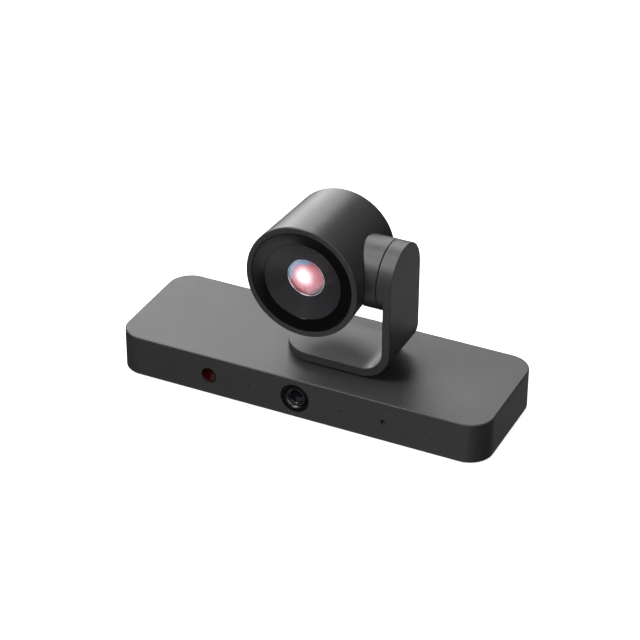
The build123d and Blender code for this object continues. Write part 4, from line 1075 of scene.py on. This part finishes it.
class BuildStudio(bpy.types.Operator):
    """Lay the floor, hang the lights and set the viewing camera"""

    bl_idname = "camera_build.studio"
    bl_label = "Studio"

    def execute(self, context):
        settings = context.scene.studio_settings
        self.lay_floor(context, settings)
        self.hang_lights(context, settings)
        self.set_camera(context, settings)
        context.scene.view_settings.view_transform = "Standard"
        return {"FINISHED"}

    def lay_floor(self, context, settings):
        """Square floor in a few cells each way, with its edges far outside the view."""
        cells = 8
        side = np.linspace(-settings.floor_size / 2, settings.floor_size / 2, cells + 1)
        x, y = np.meshgrid(side, side)
        points = np.stack([x, y, np.zeros_like(x)], axis=-1).reshape(-1, 3)
        row, column = np.meshgrid(np.arange(cells), np.arange(cells), indexing="ij")
        near = (row * (cells + 1) + column).reshape(-1)
        far = near + cells + 1
        faces = np.stack([near, near + 1, far + 1, far], axis=1)
        mesh = bpy.data.meshes.new("studio_floor")
        mesh.from_pydata(points.tolist(), [], faces.tolist())
        mesh.materials.append(FINISHES["pale_floor"])
        floor = bpy.data.objects.new("studio_floor", mesh)
        floor.visible_diffuse = False
        floor.visible_glossy = False
        floor.visible_shadow = False
        context.scene.collection.objects.link(floor)

    def hang_lights(self, context, settings):
        """Soft area lights, each turned to face its target, and a dim even sky."""
        head = Vector(middle("barrel_shell"))
        bar = Vector(middle("base_shell"))
        lights = (
            ("high_wall", (-0.80, 1.30, 1.45), bar, (1.2, 0.8), settings.wall_power, 0),
            ("low_wall", (-1.15, 1.45, 0.42), bar, (1.2, 0.6), settings.low_power, 0),
            ("overhead", (-0.35, -0.10, 1.50), head, (0.6, 0.6), settings.top_power, 0),
            ("lip_key", (-0.60, -0.70, 1.15), head, (0.5, 0.25), settings.key_power, 0),
            ("front_strip", (0.95, -1.18, 0.80), bar, (1.5, 0.3), settings.strip_power, radians(-55)),
            ("side_light", (0.75, 1.40, -0.75), head, (0.8, 0.6), settings.side_power, 0),
            ("low_card", (0.0, -0.74, -0.85), head, (0.9, 0.9), settings.card_power, 0),
        )
        for light in lights:
            self.hang(context, *light)
        bpy.data.objects["low_card"].visible_diffuse = False
        sky = bpy.data.worlds.new("studio_sky")
        sky.use_nodes = True
        backdrop = sky.node_tree.nodes["Background"]
        backdrop.inputs["Color"].default_value = (1.0, 1.0, 1.0, 1.0)
        backdrop.inputs["Strength"].default_value = settings.sky_strength
        context.scene.world = sky

    def hang(self, context, name, spot, target, size, power, lean):
        """One rectangular light at a spot, facing a target, with its long side leaning by an angle."""
        lamp = bpy.data.lights.new(name, "AREA")
        lamp.shape = "RECTANGLE"
        lamp.size, lamp.size_y = size
        lamp.energy = power
        holder = bpy.data.objects.new(name, lamp)
        facing = (target - Vector(spot)).to_track_quat("-Z", "Y").to_matrix().to_4x4()
        holder.matrix_world = Matrix.Translation(spot) @ facing @ Matrix.Rotation(lean, 4, "Z")
        holder.visible_camera = False
        context.scene.collection.objects.link(holder)

    def set_camera(self, context, settings):
        """Camera at its viewpoint, turned to its aim and then rolled."""
        lens = bpy.data.cameras.new("view_camera")
        lens.lens = settings.focal_length
        lens.sensor_width = 36.0
        lens.clip_end = 50.0
        eye = bpy.data.objects.new("view_camera", lens)
        heading = Vector(settings.aim) - Vector(settings.viewpoint)
        turn = heading.to_track_quat("-Z", "Y").to_matrix().to_4x4()
        roll = Matrix.Rotation(settings.roll, 4, "Z")
        eye.matrix_world = Matrix.Translation(settings.viewpoint) @ turn @ roll
        context.scene.collection.objects.link(eye)
        context.scene.camera = eye


class CameraPanel(bpy.types.Panel):
    """Lists what can be built, with its sizes"""

    bl_idname = "VIEW3D_PT_camera_build"
    bl_label = "Pan and tilt camera"
    bl_space_type = "VIEW_3D"
    bl_region_type = "UI"
    bl_category = "Camera"

    def draw(self, context):
        for operator in OPERATORS:
            self.layout.operator(operator.bl_idname)
        for attribute, group in GROUPS.items():
            box = self.layout.box()
            box.label(text=group.__doc__)
            for size in group.__annotations__:
                box.prop(getattr(context.scene, attribute), size)


OPERATORS = (FinishFrame, BuildZoomLens, BuildWideLens, BuildSignals, BuildTrim, BuildStudio)
GROUPS = {
    "camera_colours": CameraColours,
    "zoom_lens_sizes": ZoomLensSizes,
    "wide_lens_sizes": WideLensSizes,
    "trim_sizes": TrimSizes,
    "studio_settings": StudioSettings,
}


def register():
    for group in GROUPS.values():
        bpy.utils.register_class(group)
    for operator in OPERATORS:
        bpy.utils.register_class(operator)
    bpy.utils.register_class(CameraPanel)
    for attribute, group in GROUPS.items():
        setattr(bpy.types.Scene, attribute, PointerProperty(type=group))


def unregister():
    for attribute in GROUPS:
        delattr(bpy.types.Scene, attribute)
    bpy.utils.unregister_class(CameraPanel)
    for operator in OPERATORS:
        bpy.utils.unregister_class(operator)
    for group in GROUPS.values():
        bpy.utils.unregister_class(group)


def main():
    register()
    bpy.ops.camera_build.finish_frame()
    bpy.ops.camera_build.zoom_lens()
    bpy.ops.camera_build.wide_lens()
    bpy.ops.camera_build.signals()
    bpy.ops.camera_build.trim()
    bpy.ops.camera_build.studio()


if __name__ == "__main__":
    main()
